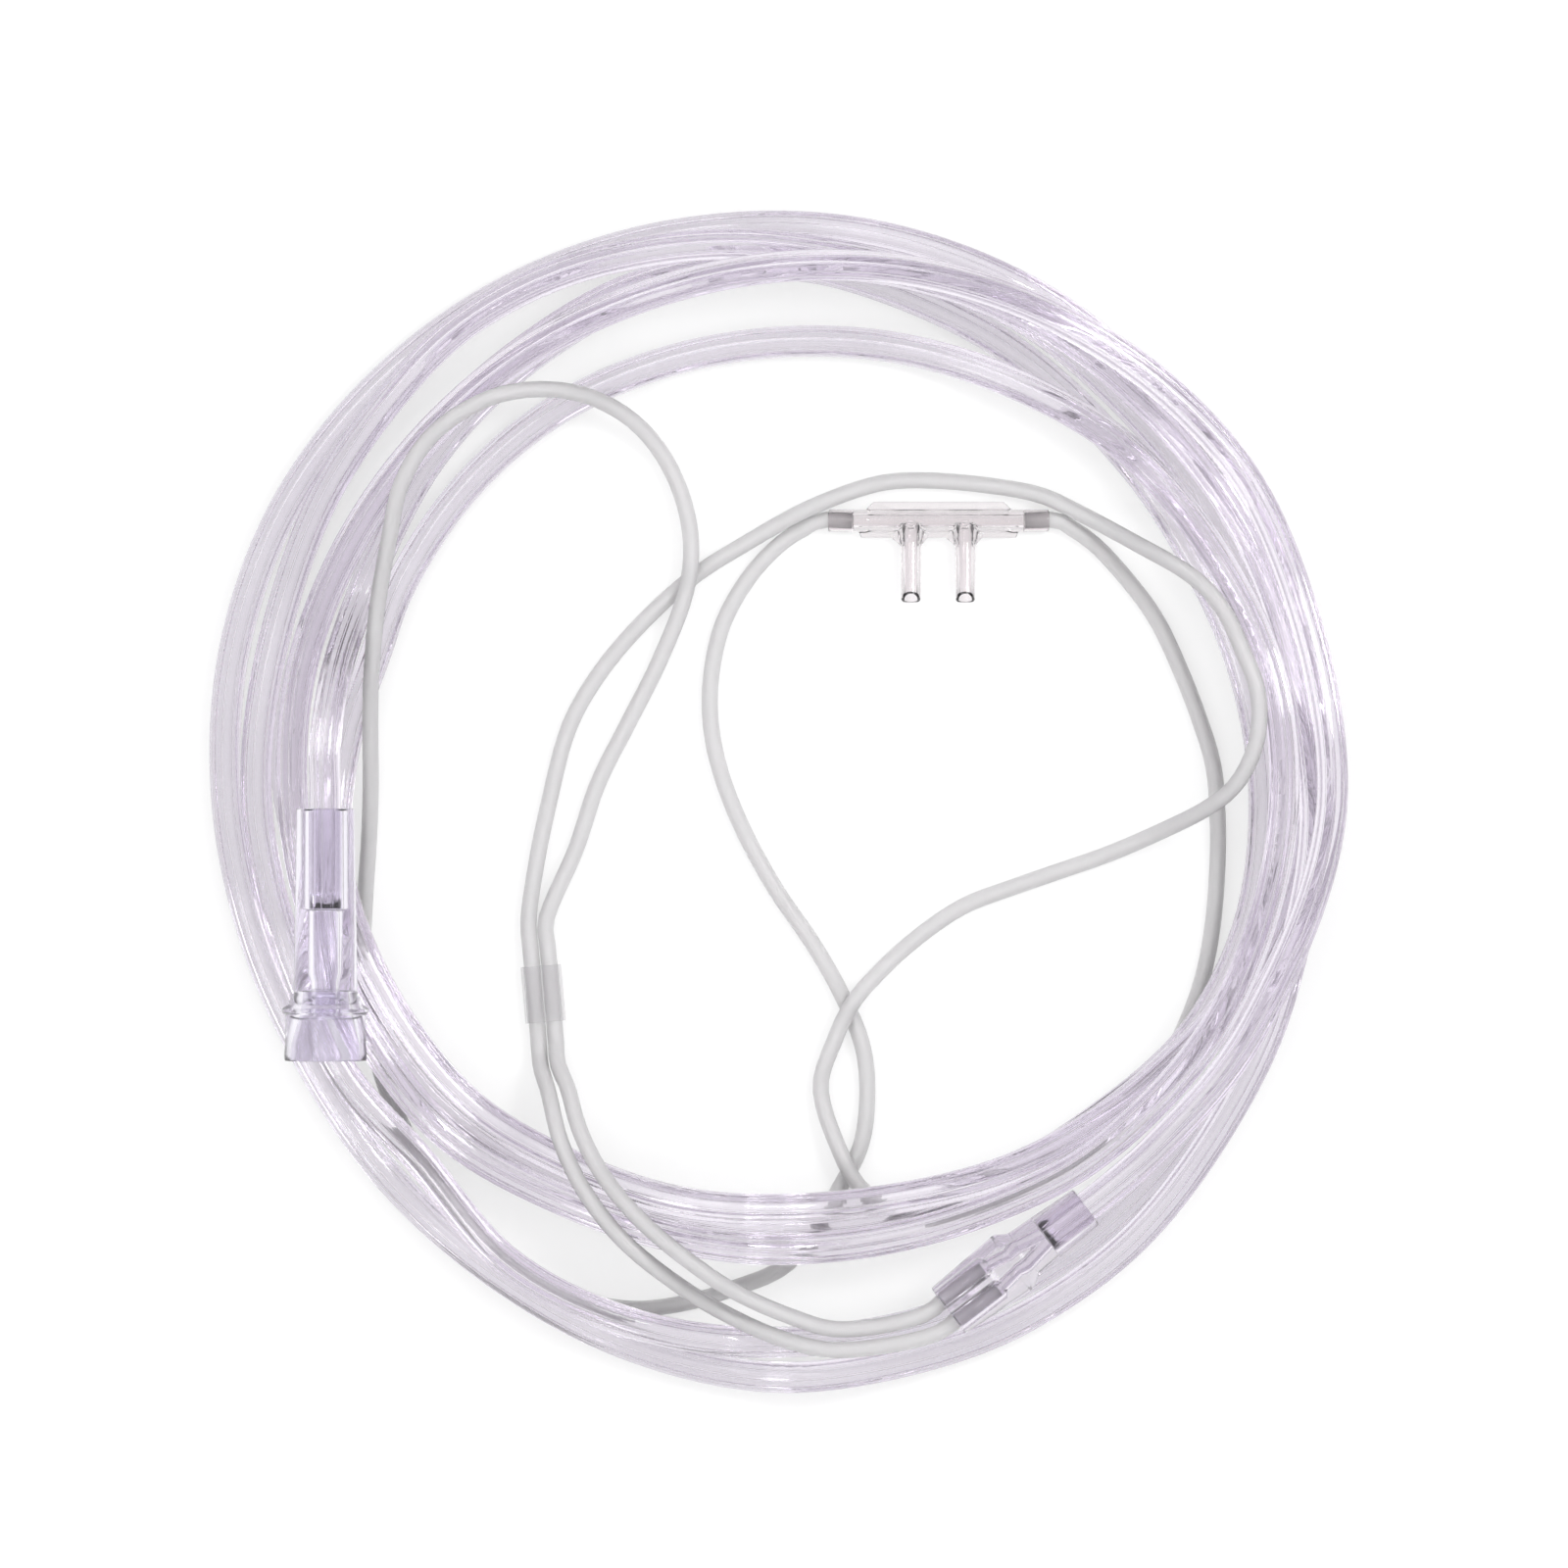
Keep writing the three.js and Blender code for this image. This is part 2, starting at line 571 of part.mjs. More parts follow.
function named(mesh, name) {
  mesh.name = name;
  return mesh;
}

const cannula = new THREE.Group();
cannula.add(named(supplyTube(), "supply_tube"));
cannula.add(named(lariat(leftLine), "lariat_left"));
cannula.add(named(lariat(rightLine), "lariat_right"));
cannula.add(named(nosepiece(), "nosepiece"));
cannula.add(named(slider(), "slider"));
cannula.add(named(twinConnector(), "twin_connector"));
cannula.add(named(supplyConnector(), "supply_connector"));

export default cannula;
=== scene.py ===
import math

import bmesh
import bpy
import numpy as np
from bpy.props import FloatProperty, FloatVectorProperty, IntProperty, PointerProperty
from bpy.types import Operator, Panel, PropertyGroup
from mathutils import Matrix, Vector


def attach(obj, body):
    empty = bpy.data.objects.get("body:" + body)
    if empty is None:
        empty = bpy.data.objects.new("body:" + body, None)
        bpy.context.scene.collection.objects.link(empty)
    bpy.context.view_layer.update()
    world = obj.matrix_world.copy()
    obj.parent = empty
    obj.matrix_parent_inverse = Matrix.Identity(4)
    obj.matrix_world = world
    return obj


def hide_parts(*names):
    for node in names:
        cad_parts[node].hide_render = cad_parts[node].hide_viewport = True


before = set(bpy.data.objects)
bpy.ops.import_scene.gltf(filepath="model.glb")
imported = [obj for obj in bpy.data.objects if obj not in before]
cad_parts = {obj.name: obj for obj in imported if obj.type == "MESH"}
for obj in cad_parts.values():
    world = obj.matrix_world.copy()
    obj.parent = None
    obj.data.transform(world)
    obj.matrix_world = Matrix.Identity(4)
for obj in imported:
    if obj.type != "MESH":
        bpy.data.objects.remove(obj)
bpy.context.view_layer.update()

bl_info = {
    "name": "Coiled Nasal Cannula",
    "version": (1, 0, 0),
    "blender": (4, 5, 0),
    "location": "3D View > Sidebar > Cannula",
    "description": "Builds a nasal oxygen cannula with its supply tube lying in a loose coil",
    "category": "Add Mesh",
}

# Bodies and places, in metres and degrees. The origin is on the surface, under the coil.
BODY = "cannula"
SLIDER_BODY = "slider"
NOSE_MIDDLE = (0.0378, 0.0661)
SLIDER_MIDDLE = (-0.0553, -0.0453)
SLIDER_TURN = 5
TWIN_START = (0.0398, -0.1191)
TWIN_TURN = 37
CUP_TOP = (-0.1056, -0.0016)
CUP_TURN = -90

# Fits between the tubes and the pieces they enter
FIT_GAP = 0.0003
NOSE_LEAD = 0.0025
LARIAT_LEAD = 0.005
TWIN_LEAD = 0.004
CUP_LEAD = 0.006
SLIDER_LEAD = 0.01

# How a laid tube bends over what it crosses
LAY_GAP = 0.0006
SAMPLE_STEP = 0.003
SUPPLY_CREST = 0.045
LARIAT_CREST = 0.025
SUPPLY_EASE = 0.01
LARIAT_EASE = 0.006
MOST_LAYERS = 3
END_SAMPLES = 5
EASING_ROUNDS = 6
SEEK_SLACK = 0.06
SEEK_SHARE = 1.2

# The order of laying: a stretch rests on every stretch with a lower number that it crosses.
BELOW_ALL = 0
LOOP_CROSSING = 0.5
HIDDEN_TURN = 1
MIDDLE_TURN = 2
OUTER_TURN = 3
CROSSING_TURN = 4
INNER_TURN = 5
TOP_TURN = 6
ABOVE_COIL = 8
ABOVE_ALL = 9
NO_GROUP, NOSE, SLIDER, TWIN, CUP = range(5)
GROUP_ORDER = {NOSE: 0, SLIDER: 1, TWIN: 5.5, CUP: 7}

TURNS = [
    [TOP_TURN, (318, 0.1199), (334, 0.123), (360, 0.1293), (390, 0.1323), (405, 0.1325),
        (420, 0.1304), (435, 0.1279), (450, 0.1249), (465, 0.1224), (480, 0.1205), (495, 0.1184),
        (510, 0.117), (525, 0.116), (540, 0.1139), (555, 0.112), (570, 0.1106), (585, 0.1102),
        (600, 0.1067), (615, 0.1049), (630, 0.1049)],
    [INNER_TURN, (285, 0.1058), (300, 0.1081), (312, 0.1111), (330, 0.1145), (345, 0.1166),
        (360, 0.1182), (375, 0.1189), (390, 0.1175), (405, 0.1164), (420, 0.1129), (435, 0.1104),
        (450, 0.1081), (465, 0.1067), (480, 0.1058), (495, 0.1042), (510, 0.1023), (520, 0.1008),
        (532, 0.1026), (545, 0.1044), (555, 0.1042), (570, 0.1026), (585, 0.1014), (600, 0.0982),
        (615, 0.0966), (630, 0.0955)],
    [OUTER_TURN, (285, 0.0968), (300, 0.1012), (311, 0.1049), (325, 0.1104), (340, 0.1173),
        (360, 0.1233), (384, 0.1274), (405, 0.13), (420, 0.1329), (435, 0.1343), (450, 0.1352),
        (465, 0.1357), (480, 0.1359), (495, 0.1357), (510, 0.135), (525, 0.1327), (540, 0.1297),
        (555, 0.1272), (570, 0.126), (585, 0.1274), (600, 0.1293), (615, 0.1327), (630, 0.1354)],
    [CROSSING_TURN, (288, 0.135), (300, 0.1339), (312, 0.1318), (330, 0.1279), (342, 0.1258),
        (360, 0.1254), (390, 0.1265), (420, 0.1283), (450, 0.13), (468, 0.1334), (480, 0.1343),
        (490, 0.1325), (510, 0.1274), (540, 0.1226), (570, 0.1203), (585, 0.1191), (600, 0.1254),
        (615, 0.1273), (630, 0.1272)],
    [MIDDLE_TURN, (285, 0.1271), (300, 0.1265), (315, 0.1254), (330, 0.123), (345, 0.1219),
        (360, 0.1219), (390, 0.123), (420, 0.127), (435, 0.1275), (450, 0.126), (465, 0.1254),
        (480, 0.1213), (495, 0.1184), (510, 0.1172), (525, 0.1165), (540, 0.115), (570, 0.1081),
        (585, 0.1058), (600, 0.1024), (615, 0.1005), (630, 0.1003)],
    [HIDDEN_TURN, (285, 0.1012), (300, 0.1026), (312, 0.1051), (330, 0.1116), (345, 0.1144),
        (360, 0.1144), (375, 0.1138), (389, 0.1134), (404, 0.1152), (424, 0.12), (445, 0.1256),
        (455, 0.126), (465, 0.1242), (480, 0.1196), (495, 0.115), (510, 0.1101), (519, 0.1084)],
]

# The way up from the last turn to the supply connector, in degrees and metres
CUP_RISE = [ABOVE_COIL, (526, 0.1073), (534, 0.1064)]

# The lariats' points, from the nosepiece to the slider and on to the twin connector,
# in metres, each list with the order of laying of that stretch.
LEFT_ROUTE = [
    [BELOW_ALL, (0.0075, 0.065), (0.002, 0.0618), (-0.0055, 0.0545), (-0.0125, 0.043),
        (-0.0155, 0.0315), (-0.016, 0.02), (-0.014, 0.0085), (-0.009, -0.005), (-0.001, -0.02),
        (0.0085, -0.034), (0.015, -0.0455), (0.02, -0.058), (0.021, -0.0695), (0.0195, -0.081),
        (0.0145, -0.091), (0.0085, -0.101), (0.0015, -0.1095), (-0.0115, -0.115),
        (-0.0215, -0.118), (-0.033, -0.1195), (-0.0445, -0.118), (-0.054, -0.1145),
        (-0.0675, -0.104), (-0.078, -0.093), (-0.086, -0.081), (-0.0925, -0.067),
        (-0.0965, -0.051), (-0.0978, -0.038), (-0.0973, -0.024), (-0.0964, -0.01),
        (-0.096, -0.002)],
    [ABOVE_COIL, (-0.0958, 0.006), (-0.0958, 0.018), (-0.0955, 0.0295), (-0.094, 0.0455),
        (-0.091, 0.0615), (-0.0885, 0.073), (-0.0835, 0.0825), (-0.077, 0.089), (-0.0655, 0.095),
        (-0.054, 0.0965), (-0.0445, 0.095), (-0.0355, 0.0905), (-0.0285, 0.0835), (-0.023, 0.073)],
    [ABOVE_ALL, (-0.0205, 0.0615), (-0.0215, 0.05), (-0.0275, 0.034), (-0.0355, 0.018),
        (-0.0425, 0.004), (-0.0475, -0.011)],
]
RIGHT_ROUTE = [
    [LOOP_CROSSING, (0.0685, 0.0647), (0.074, 0.061), (0.082, 0.0525), (0.089, 0.043),
        (0.0945, 0.0315), (0.099, 0.02), (0.1025, 0.0085), (0.1035, -0.003), (0.1035, -0.0145),
        (0.1025, -0.028), (0.1005, -0.0395), (0.0975, -0.049), (0.092, -0.0605), (0.083, -0.072),
        (0.0705, -0.082), (0.0565, -0.09), (0.0415, -0.0955), (0.028, -0.096), (0.0195, -0.091),
        (0.014, -0.081), (0.01, -0.067), (0.013, -0.057), (0.0175, -0.0475), (0.0245, -0.0395),
        (0.0335, -0.0315), (0.044, -0.0245), (0.0545, -0.0205), (0.066, -0.0165),
        (0.0775, -0.0125), (0.089, -0.0075)],
    [ABOVE_COIL, (0.1005, -0.0015), (0.107, 0.004), (0.1115, 0.0135), (0.112, 0.025),
        (0.1085, 0.035), (0.1035, 0.0455), (0.097, 0.0525), (0.084, 0.0605), (0.0715, 0.0675),
        (0.062, 0.072), (0.0495, 0.0744), (0.0345, 0.0756), (0.0245, 0.075), (0.0085, 0.0695),
        (-0.008, 0.0605), (-0.0205, 0.0525), (-0.033, 0.041), (-0.0425, 0.0295), (-0.049, 0.018),
        (-0.054, -0.0005), (-0.0573, -0.017)],
]
LEFT_END = [ABOVE_COIL, (-0.0495, -0.067), (-0.0465, -0.077), (-0.041, -0.0875), (-0.032, -0.098),
    (-0.02, -0.108), (-0.0095, -0.115), (0.003, -0.1205), (0.014, -0.1234)]
RIGHT_END = [ABOVE_COIL, (-0.054, -0.068), (-0.051, -0.0795), (-0.0455, -0.091),
    (-0.0365, -0.1025), (-0.0235, -0.1132), (-0.013, -0.1198), (0.001, -0.1258), (0.014, -0.1283)]

# Floor, camera and light
FLOOR_REACH = 1.6
FLOOR_DROP = 0.0001
FLOOR_GLOW = 0.62
LENS = 290.0
SENSOR_WIDTH = 36
FRAME_WIDTH = 0.368
CAMERA_OVER = (0.0014, 0.0041)
MIDDLE_HEIGHT = 0.012
SKY_STRENGTH = 1.1
SKY = [(0.0, (0.28, 0.26, 0.29, 1)), (0.4, (0.76, 0.74, 0.78, 1)), (0.8, (1.0, 1.0, 1.0, 1))]
BOUNCES = {"max_bounces": 18, "transmission_bounces": 18, "glossy_bounces": 4,
           "diffuse_bounces": 1, "transparent_max_bounces": 16}

# Lamps: name, degrees round and up, distance and size in metres, watts
LAMPS = (
    ("key", 28, 56, 1.0, 0.26, 2.7),
    ("side", 205, 48, 1.1, 0.3, 1.0),
    ("fill", 120, 66, 1.2, 0.6, 1.2),
)

# Meshes: steps along the tubes in metres, sides round them, and sides of turned shapes
SUPPLY_STEP = 0.004
LARIAT_STEP = 0.003
WALL_SIDES = 28
BORE_SIDES = 40
LARIAT_BORE_SIDES = 16
ROD_SIDES = 40
CUP_SIDES = 96
VOXEL = 0.00021
CREASE = math.radians(38)
AXIS = 1e-5


def length(label, about, default):
    """A length setting, in metres."""
    return FloatProperty(name=label, description=about, default=default, unit="LENGTH")


def tint(label, default):
    """A colour setting."""
    return FloatVectorProperty(
        name=label, description="What the plastic lets through at each surface",
        default=default, size=3, subtype="COLOR", min=0, max=1)


class TubeSizes(PropertyGroup):
    """Sizes of the supply tube and the two lariats."""

    supply_outer: length("Supply tube diameter", "Outer diameter of the supply tube", 0.0074)
    supply_bore: length("Supply tube bore", "Bore of the supply tube between its ribs", 0.0053)
    supply_ribs: IntProperty(
        name="Ribs", description="Ribs that keep the bore open where the tube is bent",
        default=5, min=0, max=12)
    rib_depth: length("Rib depth", "How far each rib stands into the bore", 0.0009)
    supply_length: length("Supply tube length", "Length of the supply tube", 4.32)
    lariat_outer: length("Lariat diameter", "Outer diameter of the lariats", 0.0038)
    lariat_bore: length("Lariat bore", "Bore of the lariats", 0.0021)
    left_length: length("Left lariat length", "Length of the lariat on the wearer's right", 0.848)
    right_length: length("Right lariat length", "Length of the lariat on the wearer's left", 0.871)


class NoseSizes(PropertyGroup):
    """Sizes of the nosepiece."""

    length: length("Length", "Length over both sockets", 0.052)
    bar: length("Bar", "Diameter of the bar", 0.0049)
    bar_bore: length("Bar bore", "Bore of the bar", 0.0024)
    socket: length("Socket", "Diameter of the end sockets", 0.0054)
    socket_depth: length("Socket depth", "How far a lariat goes in", 0.006)
    flange_length: length("Flange length", "Length of the thin flange", 0.0365)
    flange_above: length("Flange above", "Flange above the bar", 0.0045)
    flange_below: length("Flange below", "Flange below the bar", 0.004)
    flange_thick: length("Flange thickness", "Thickness of the flange", 0.0009)
    prong_spacing: length("Prong spacing", "Between the prongs' axes", 0.0128)
    prong_outer: length("Prong root", "Diameter of a prong at its root", 0.005)
    prong_tip: length("Prong tip", "Diameter of a prong at its tip", 0.0046)
    prong_bore: length("Prong bore", "Bore of a prong", 0.003)
    prong_reach: length("Prong reach", "From the bar's axis to the tips", 0.0192)
    prong_rise: length("Prong rise", "How much higher a tip is than its root", 0.0024)


class SliderSizes(PropertyGroup):
    """Sizes of the slider."""

    length: length("Length", "Length of the sleeve", 0.0133)
    wall: length("Wall", "Thickness of the sleeve", 0.0005)
    spacing: length("Spacing", "Between the two lariats' axes", 0.0041)


class TwinSizes(PropertyGroup):
    """Sizes of the twin connector."""

    length: length("Length", "Length of the connector", 0.0404)
    body_length: length("Body length", "From the wide end to the step", 0.0206)
    end_width: length("End width", "Width of the wide end", 0.0133)
    step_width: length("Step width", "Width at the step", 0.0158)
    flatness: FloatProperty(
        name="Flatness", description="Height of the body as a share of its width",
        default=0.72, subtype="FACTOR")
    bore_spacing: length("Bore spacing", "Between the lariat bores' axes", 0.0054)
    lariat_depth: length("Lariat depth", "Depth of the lariat bores", 0.013)
    barrel: length("Barrel", "Diameter after the step", 0.0122)
    narrow: length("Narrow end", "Diameter of the narrow end", 0.0102)
    supply_depth: length("Supply depth", "Depth of the supply tube's bore", 0.012)
    passage: length("Passage", "Diameter of the passages inside", 0.0026)


class CupSizes(PropertyGroup):
    """Sizes of the supply connector."""

    length: length("Length", "Length of the connector", 0.0589)
    sleeve: length("Sleeve top", "Diameter of the sleeve at the tube's end", 0.0136)
    sleeve_low: length("Sleeve foot", "Diameter of the sleeve above the flange", 0.015)
    sleeve_length: length("Sleeve length", "Length of the sleeve", 0.043)
    flange_at: length("Flange place", "From the top to the flange", 0.0466)
    flange: length("Flange", "Diameter of the flange", 0.0202)
    flange_thick: length("Flange thickness", "Thickness of the flange", 0.0011)
    cup: length("Cup", "Outer diameter of the cup", 0.0193)
    mouth: length("Mouth", "Bore of the cup at its mouth", 0.0174)
    throat: length("Throat", "Bore of the cup at its foot", 0.0106)
    throat_at: length("Throat place", "From the top to the foot of the cup", 0.0425)
    stop_at: length("Stop place", "From the top to the supply tube's end", 0.0236)
    bore: length("Bore", "Bore between the tube's end and the cup", 0.006)
    nozzle: length("Nozzle", "Outer diameter of the nozzle inside", 0.0086)
    nozzle_bore: length("Nozzle bore", "Bore of the nozzle inside", 0.005)
    nozzle_reach: length("Nozzle reach", "How far the nozzle stands into the cup", 0.0055)


class Finishes(PropertyGroup):
    """Colours of the plastics and the floor."""

    supply: tint("Supply tube", (0.945, 0.928, 0.957))
    lariat: tint("Lariats", (0.985, 0.973, 0.978))
    nose: tint("Nosepiece", (0.93, 0.905, 0.915))
    slider: tint("Slider", (0.66, 0.64, 0.67))
    twin: tint("Twin connector", (0.885, 0.858, 0.905))
    cup: tint("Supply connector", (0.922, 0.906, 0.955))
    floor: tint("Floor", (0.4, 0.4, 0.4))


class CannulaSettings(PropertyGroup):
    """Everything that a user would change."""

    tubes: PointerProperty(type=TubeSizes)
    nose: PointerProperty(type=NoseSizes)
    slider: PointerProperty(type=SliderSizes)
    twin: PointerProperty(type=TwinSizes)
    cup: PointerProperty(type=CupSizes)
    finishes: PointerProperty(type=Finishes)


class Stretch:
    """A part of a route with one order of laying."""

    def __init__(self, order, points, group=NO_GROUP):
        self.order = order
        self.points = np.array(points, float)
        self.group = group
        steps = np.linalg.norm(np.diff(self.points, axis=0), axis=1)
        self.reach = SEEK_SLACK + SEEK_SHARE * steps.sum()


class Line:
    """Samples along a route, or along the axis of a rigid piece."""

    def __init__(self, at, radius, order, group):
        self.at = at
        self.radius = radius
        self.order = order
        self.group = group
        self.joins = np.zeros(len(at), int)
        for index in range(len(at)):
            around = group[max(0, index - END_SAMPLES):index + END_SAMPLES + 1]
            self.joins[index] = next((name for name in around if name), NO_GROUP)
        self.height = np.zeros(len(at))

    def path(self, step):
        """Even points along the laid line, with the last kinks in its height eased."""
        height = self.height.copy()
        for _ in range(EASING_ROUNDS):
            mean = (shifted(height, -1, np.nan) + height + shifted(height, 1, np.nan)) / 3
            height = np.where(np.isnan(mean) | (self.group > NO_GROUP), height, mean)
        height = np.maximum(height, self.radius)
        return even_steps(np.column_stack([self.at, height]), step, 8)


def on_line(start, turn, along, beside=0.0):
    """The point at a distance along and beside a line that starts somewhere and is turned."""
    angle = math.radians(turn)
    x = start[0] + along * math.cos(angle) - beside * math.sin(angle)
    y = start[1] + along * math.sin(angle) + beside * math.cos(angle)
    return (x, y)


def straight(start, turn, first, last, beside=0.0):
    """Points that a tube passes on its way through a straight rigid piece."""
    count = max(1, round(abs(last - first) / (2 * SAMPLE_STEP)))
    shares = [index / count for index in range(count + 1)]
    return [on_line(start, turn, first + (last - first) * share, beside) for share in shares]


def polar(pair):
    """A point from its angle in degrees and its radius."""
    angle = math.radians(pair[0])
    return (pair[1] * math.cos(angle), pair[1] * math.sin(angle))


def curve_points(points, places):
    """Points of the smooth centripetal curve through some points, at places along it."""
    knots = np.vstack([2 * points[0] - points[1], points, 2 * points[-1] - points[-2]])
    spans = np.sqrt(np.linalg.norm(np.diff(knots, axis=0), axis=1))
    segment = np.minimum(places.astype(int), len(points) - 2)
    weight = (places - segment)[:, None]
    before, start, end, after = (knots[segment + step] for step in range(4))
    into, over, out = (spans[segment + step][:, None] for step in range(3))
    leave = ((start - before) / into - (end - before) / (into + over)) * over + (end - start)
    reach = (end - start) + ((after - end) / out - (after - start) / (over + out)) * over
    cubic = 2 * (start - end) + leave + reach
    square = 3 * (end - start) - 2 * leave - reach
    return ((cubic * weight + square) * weight + leave) * weight + start


def even_steps(points, step, fineness=40):
    """The same curve cut into even steps of about the given length."""
    places = np.linspace(0, len(points) - 1, len(points) * fineness + 1)
    fine = curve_points(points, places)
    lengths = np.linalg.norm(np.diff(fine, axis=0), axis=1)
    run = np.concatenate([[0], np.cumsum(lengths)])
    wanted = np.linspace(0, run[-1], round(run[-1] / step) + 1)
    return curve_points(points, np.interp(wanted, run, places))


def flat_route(stretches, radius):
    """A route laid flat, with its order of laying and its rigid pieces at each sample."""
    at = even_steps(np.vstack([part.points for part in stretches]), SAMPLE_STEP)
    order = np.zeros(len(at))
    group = np.zeros(len(at), int)
    first = 0
    for part in stretches:
        ahead = at[first:first + math.ceil(part.reach / SAMPLE_STEP)]
        last = first + int(np.argmin(np.linalg.norm(ahead - part.points[-1], axis=1)))
        order[first:last + 1] = GROUP_ORDER.get(part.group, part.order)
        group[first:last + 1] = part.group
        first = last
    return Line(at, np.full(len(at), radius), order, group)


def footprint(start, turn, length, group, radius_at):
    """Samples along a rigid piece, each as wide as the piece is there."""
    places = np.arange(0, length + SAMPLE_STEP / 100, SAMPLE_STEP)
    at = np.array([on_line(start, turn, along) for along in places])
    radius = np.array([radius_at(along) for along in places])
    return Line(at, radius, np.full(len(at), float(GROUP_ORDER[group])), np.full(len(at), group))


def shifted(values, step, fill):
    """The values moved along by a number of samples."""
    out = np.full(len(values), fill, float)
    if abs(step) >= len(values):
        return out
    if step >= 0:
        out[:len(values) - step] = values[step:]
    else:
        out[-step:] = values[:step]
    return out


def drape(level, order, group, need, crest, height, thin, layer):
    """Lifts one order of a line: it falls from each crest along an arc, with eased kinks."""
    bend = LARIAT_CREST if thin else SUPPLY_CREST
    reach = math.ceil(math.sqrt(2 * bend * layer * MOST_LAYERS) / SAMPLE_STEP)
    ease = round((LARIAT_EASE if thin else SUPPLY_EASE) / SAMPLE_STEP)
    now = order == level
    laid = order <= level
    if not now.any():
        return
    best = need.copy()
    for step in range(-reach, reach + 1):
        fallen = shifted(np.where(laid, need, -np.inf), step, -np.inf)
        best = np.maximum(best, fallen - (step * SAMPLE_STEP) ** 2 / (2 * bend))
    crest[now] = best[now]
    total = np.zeros(len(need))
    count = np.zeros(len(need))
    for step in range(-ease, ease + 1):
        total += shifted(np.where(laid, crest, 0), step, 0)
        count += shifted(laid.astype(float), step, 0)
    mean = total / np.maximum(count, 1)
    height[now] = np.where(group > NO_GROUP, need, mean)[now]


def settle(lines, floors, layer):
    """Gives every sample the height at which it rests on what was laid before it."""
    names = ("at", "radius", "order", "group", "joins")
    at, radius, order, group, joins = (
        np.concatenate([getattr(line, name) for line in lines]) for name in names)
    need = radius.copy()
    for name, floor in floors.items():
        need[group == name] = np.maximum(need[group == name], floor)
    reach = radius[:, None] + radius[None, :] + LAY_GAP
    flat = np.hypot(at[:, None, 0] - at[None, :, 0], at[:, None, 1] - at[None, :, 1])
    joined = (group[None, :] > NO_GROUP) & (joins[:, None] == group[None, :])
    over = (order[:, None] > order[None, :]) & (flat < reach) & ~joined
    upper, lower = np.nonzero(over)
    lift = np.sqrt(reach[upper, lower] ** 2 - flat[upper, lower] ** 2)
    crest = need.copy()
    height = np.zeros(len(need))
    for level in np.unique(order):
        here = order[upper] == level
        np.maximum.at(need, upper[here], height[lower[here]] + lift[here])
        for name in GROUP_ORDER:
            need[group == name] = need[group == name].max()
        first = 0
        for line in lines:
            span = slice(first, first + len(line.at))
            thin = line.radius[0] < layer / 2
            drape(level, order[span], group[span], need[span], crest[span], height[span],
                  thin, layer)
            first += len(line.at)
    first = 0
    for line in lines:
        line.height = height[first:first + len(line.at)]
        first += len(line.at)


def lay_out(settings):
    """Lays the tubes and the rigid pieces, and returns them with their heights."""
    tubes, nose, slider = settings.tubes, settings.nose, settings.slider
    twin, cup = settings.twin, settings.cup
    nose_start = on_line(NOSE_MIDDLE, 0, -nose.length / 2)
    nose_end = on_line(NOSE_MIDDLE, 0, nose.length / 2)
    half = slider.length / 2 + SLIDER_LEAD

    def lariat(side, start, turn, route, end):
        beside_slider = side * slider.spacing / 2
        beside_twin = side * twin.bore_spacing / 2
        in_nose = straight(start, turn, -nose.socket_depth + FIT_GAP, NOSE_LEAD)
        in_slider = straight(SLIDER_MIDDLE, SLIDER_TURN - 90, -half, half, beside_slider)
        twin_stop = twin.lariat_depth - FIT_GAP
        in_twin = straight(TWIN_START, TWIN_TURN, -LARIAT_LEAD, twin_stop, beside_twin)
        stretches = [
            Stretch(LOOP_CROSSING, in_nose, NOSE),
            *(Stretch(row[0], row[1:]) for row in route),
            Stretch(ABOVE_COIL, in_slider, SLIDER),
            Stretch(end[0], end[1:]),
            Stretch(ABOVE_COIL, in_twin, TWIN),
        ]
        return flat_route(stretches, tubes.lariat_outer / 2)

    twin_stop = twin.length - twin.supply_depth + FIT_GAP
    supply = flat_route([
        Stretch(TOP_TURN, straight(TWIN_START, TWIN_TURN, twin_stop, twin.length + TWIN_LEAD),
                TWIN),
        *(Stretch(row[0], [polar(pair) for pair in row[1:]]) for row in TURNS),
        Stretch(CUP_RISE[0], [polar(pair) for pair in CUP_RISE[1:]]),
        Stretch(ABOVE_COIL, straight(CUP_TOP, CUP_TURN, -CUP_LEAD, cup.stop_at - FIT_GAP), CUP),
    ], tubes.supply_outer / 2)
    left = lariat(1, nose_start, 180, LEFT_ROUTE, LEFT_END)
    right = lariat(-1, nose_end, 0, RIGHT_ROUTE, RIGHT_END)

    def twin_radius(along):
        if along < twin.body_length:
            share = along / twin.body_length
            width = twin.end_width + (twin.step_width - twin.end_width) * share
            return twin.flatness * width / 2
        share = (along - twin.body_length) / (twin.length - twin.body_length)
        return (twin.barrel + (twin.narrow - twin.barrel) * share) / 2

    def cup_radius(along):
        if along > cup.sleeve_length:
            return cup.flange / 2
        share = along / cup.sleeve_length
        return (cup.sleeve + (cup.sleeve_low - cup.sleeve) * share) / 2

    feet = {
        NOSE: footprint(nose_start, 0, nose.length, NOSE, lambda along: nose.socket / 2),
        TWIN: footprint(TWIN_START, TWIN_TURN, twin.length, TWIN, twin_radius),
        CUP: footprint(CUP_TOP, CUP_TURN, cup.length, CUP, cup_radius),
    }
    slider_height = tubes.lariat_outer / 2 + FIT_GAP + slider.wall
    floors = {NOSE: nose.socket / 2, SLIDER: slider_height}
    settle([supply, left, right, *feet.values()], floors, tubes.supply_outer)
    heights = {name: foot.height[0] for name, foot in feet.items()}
    heights[SLIDER] = slider_height
    return {"supply": supply, "left": left, "right": right, "heights": heights}


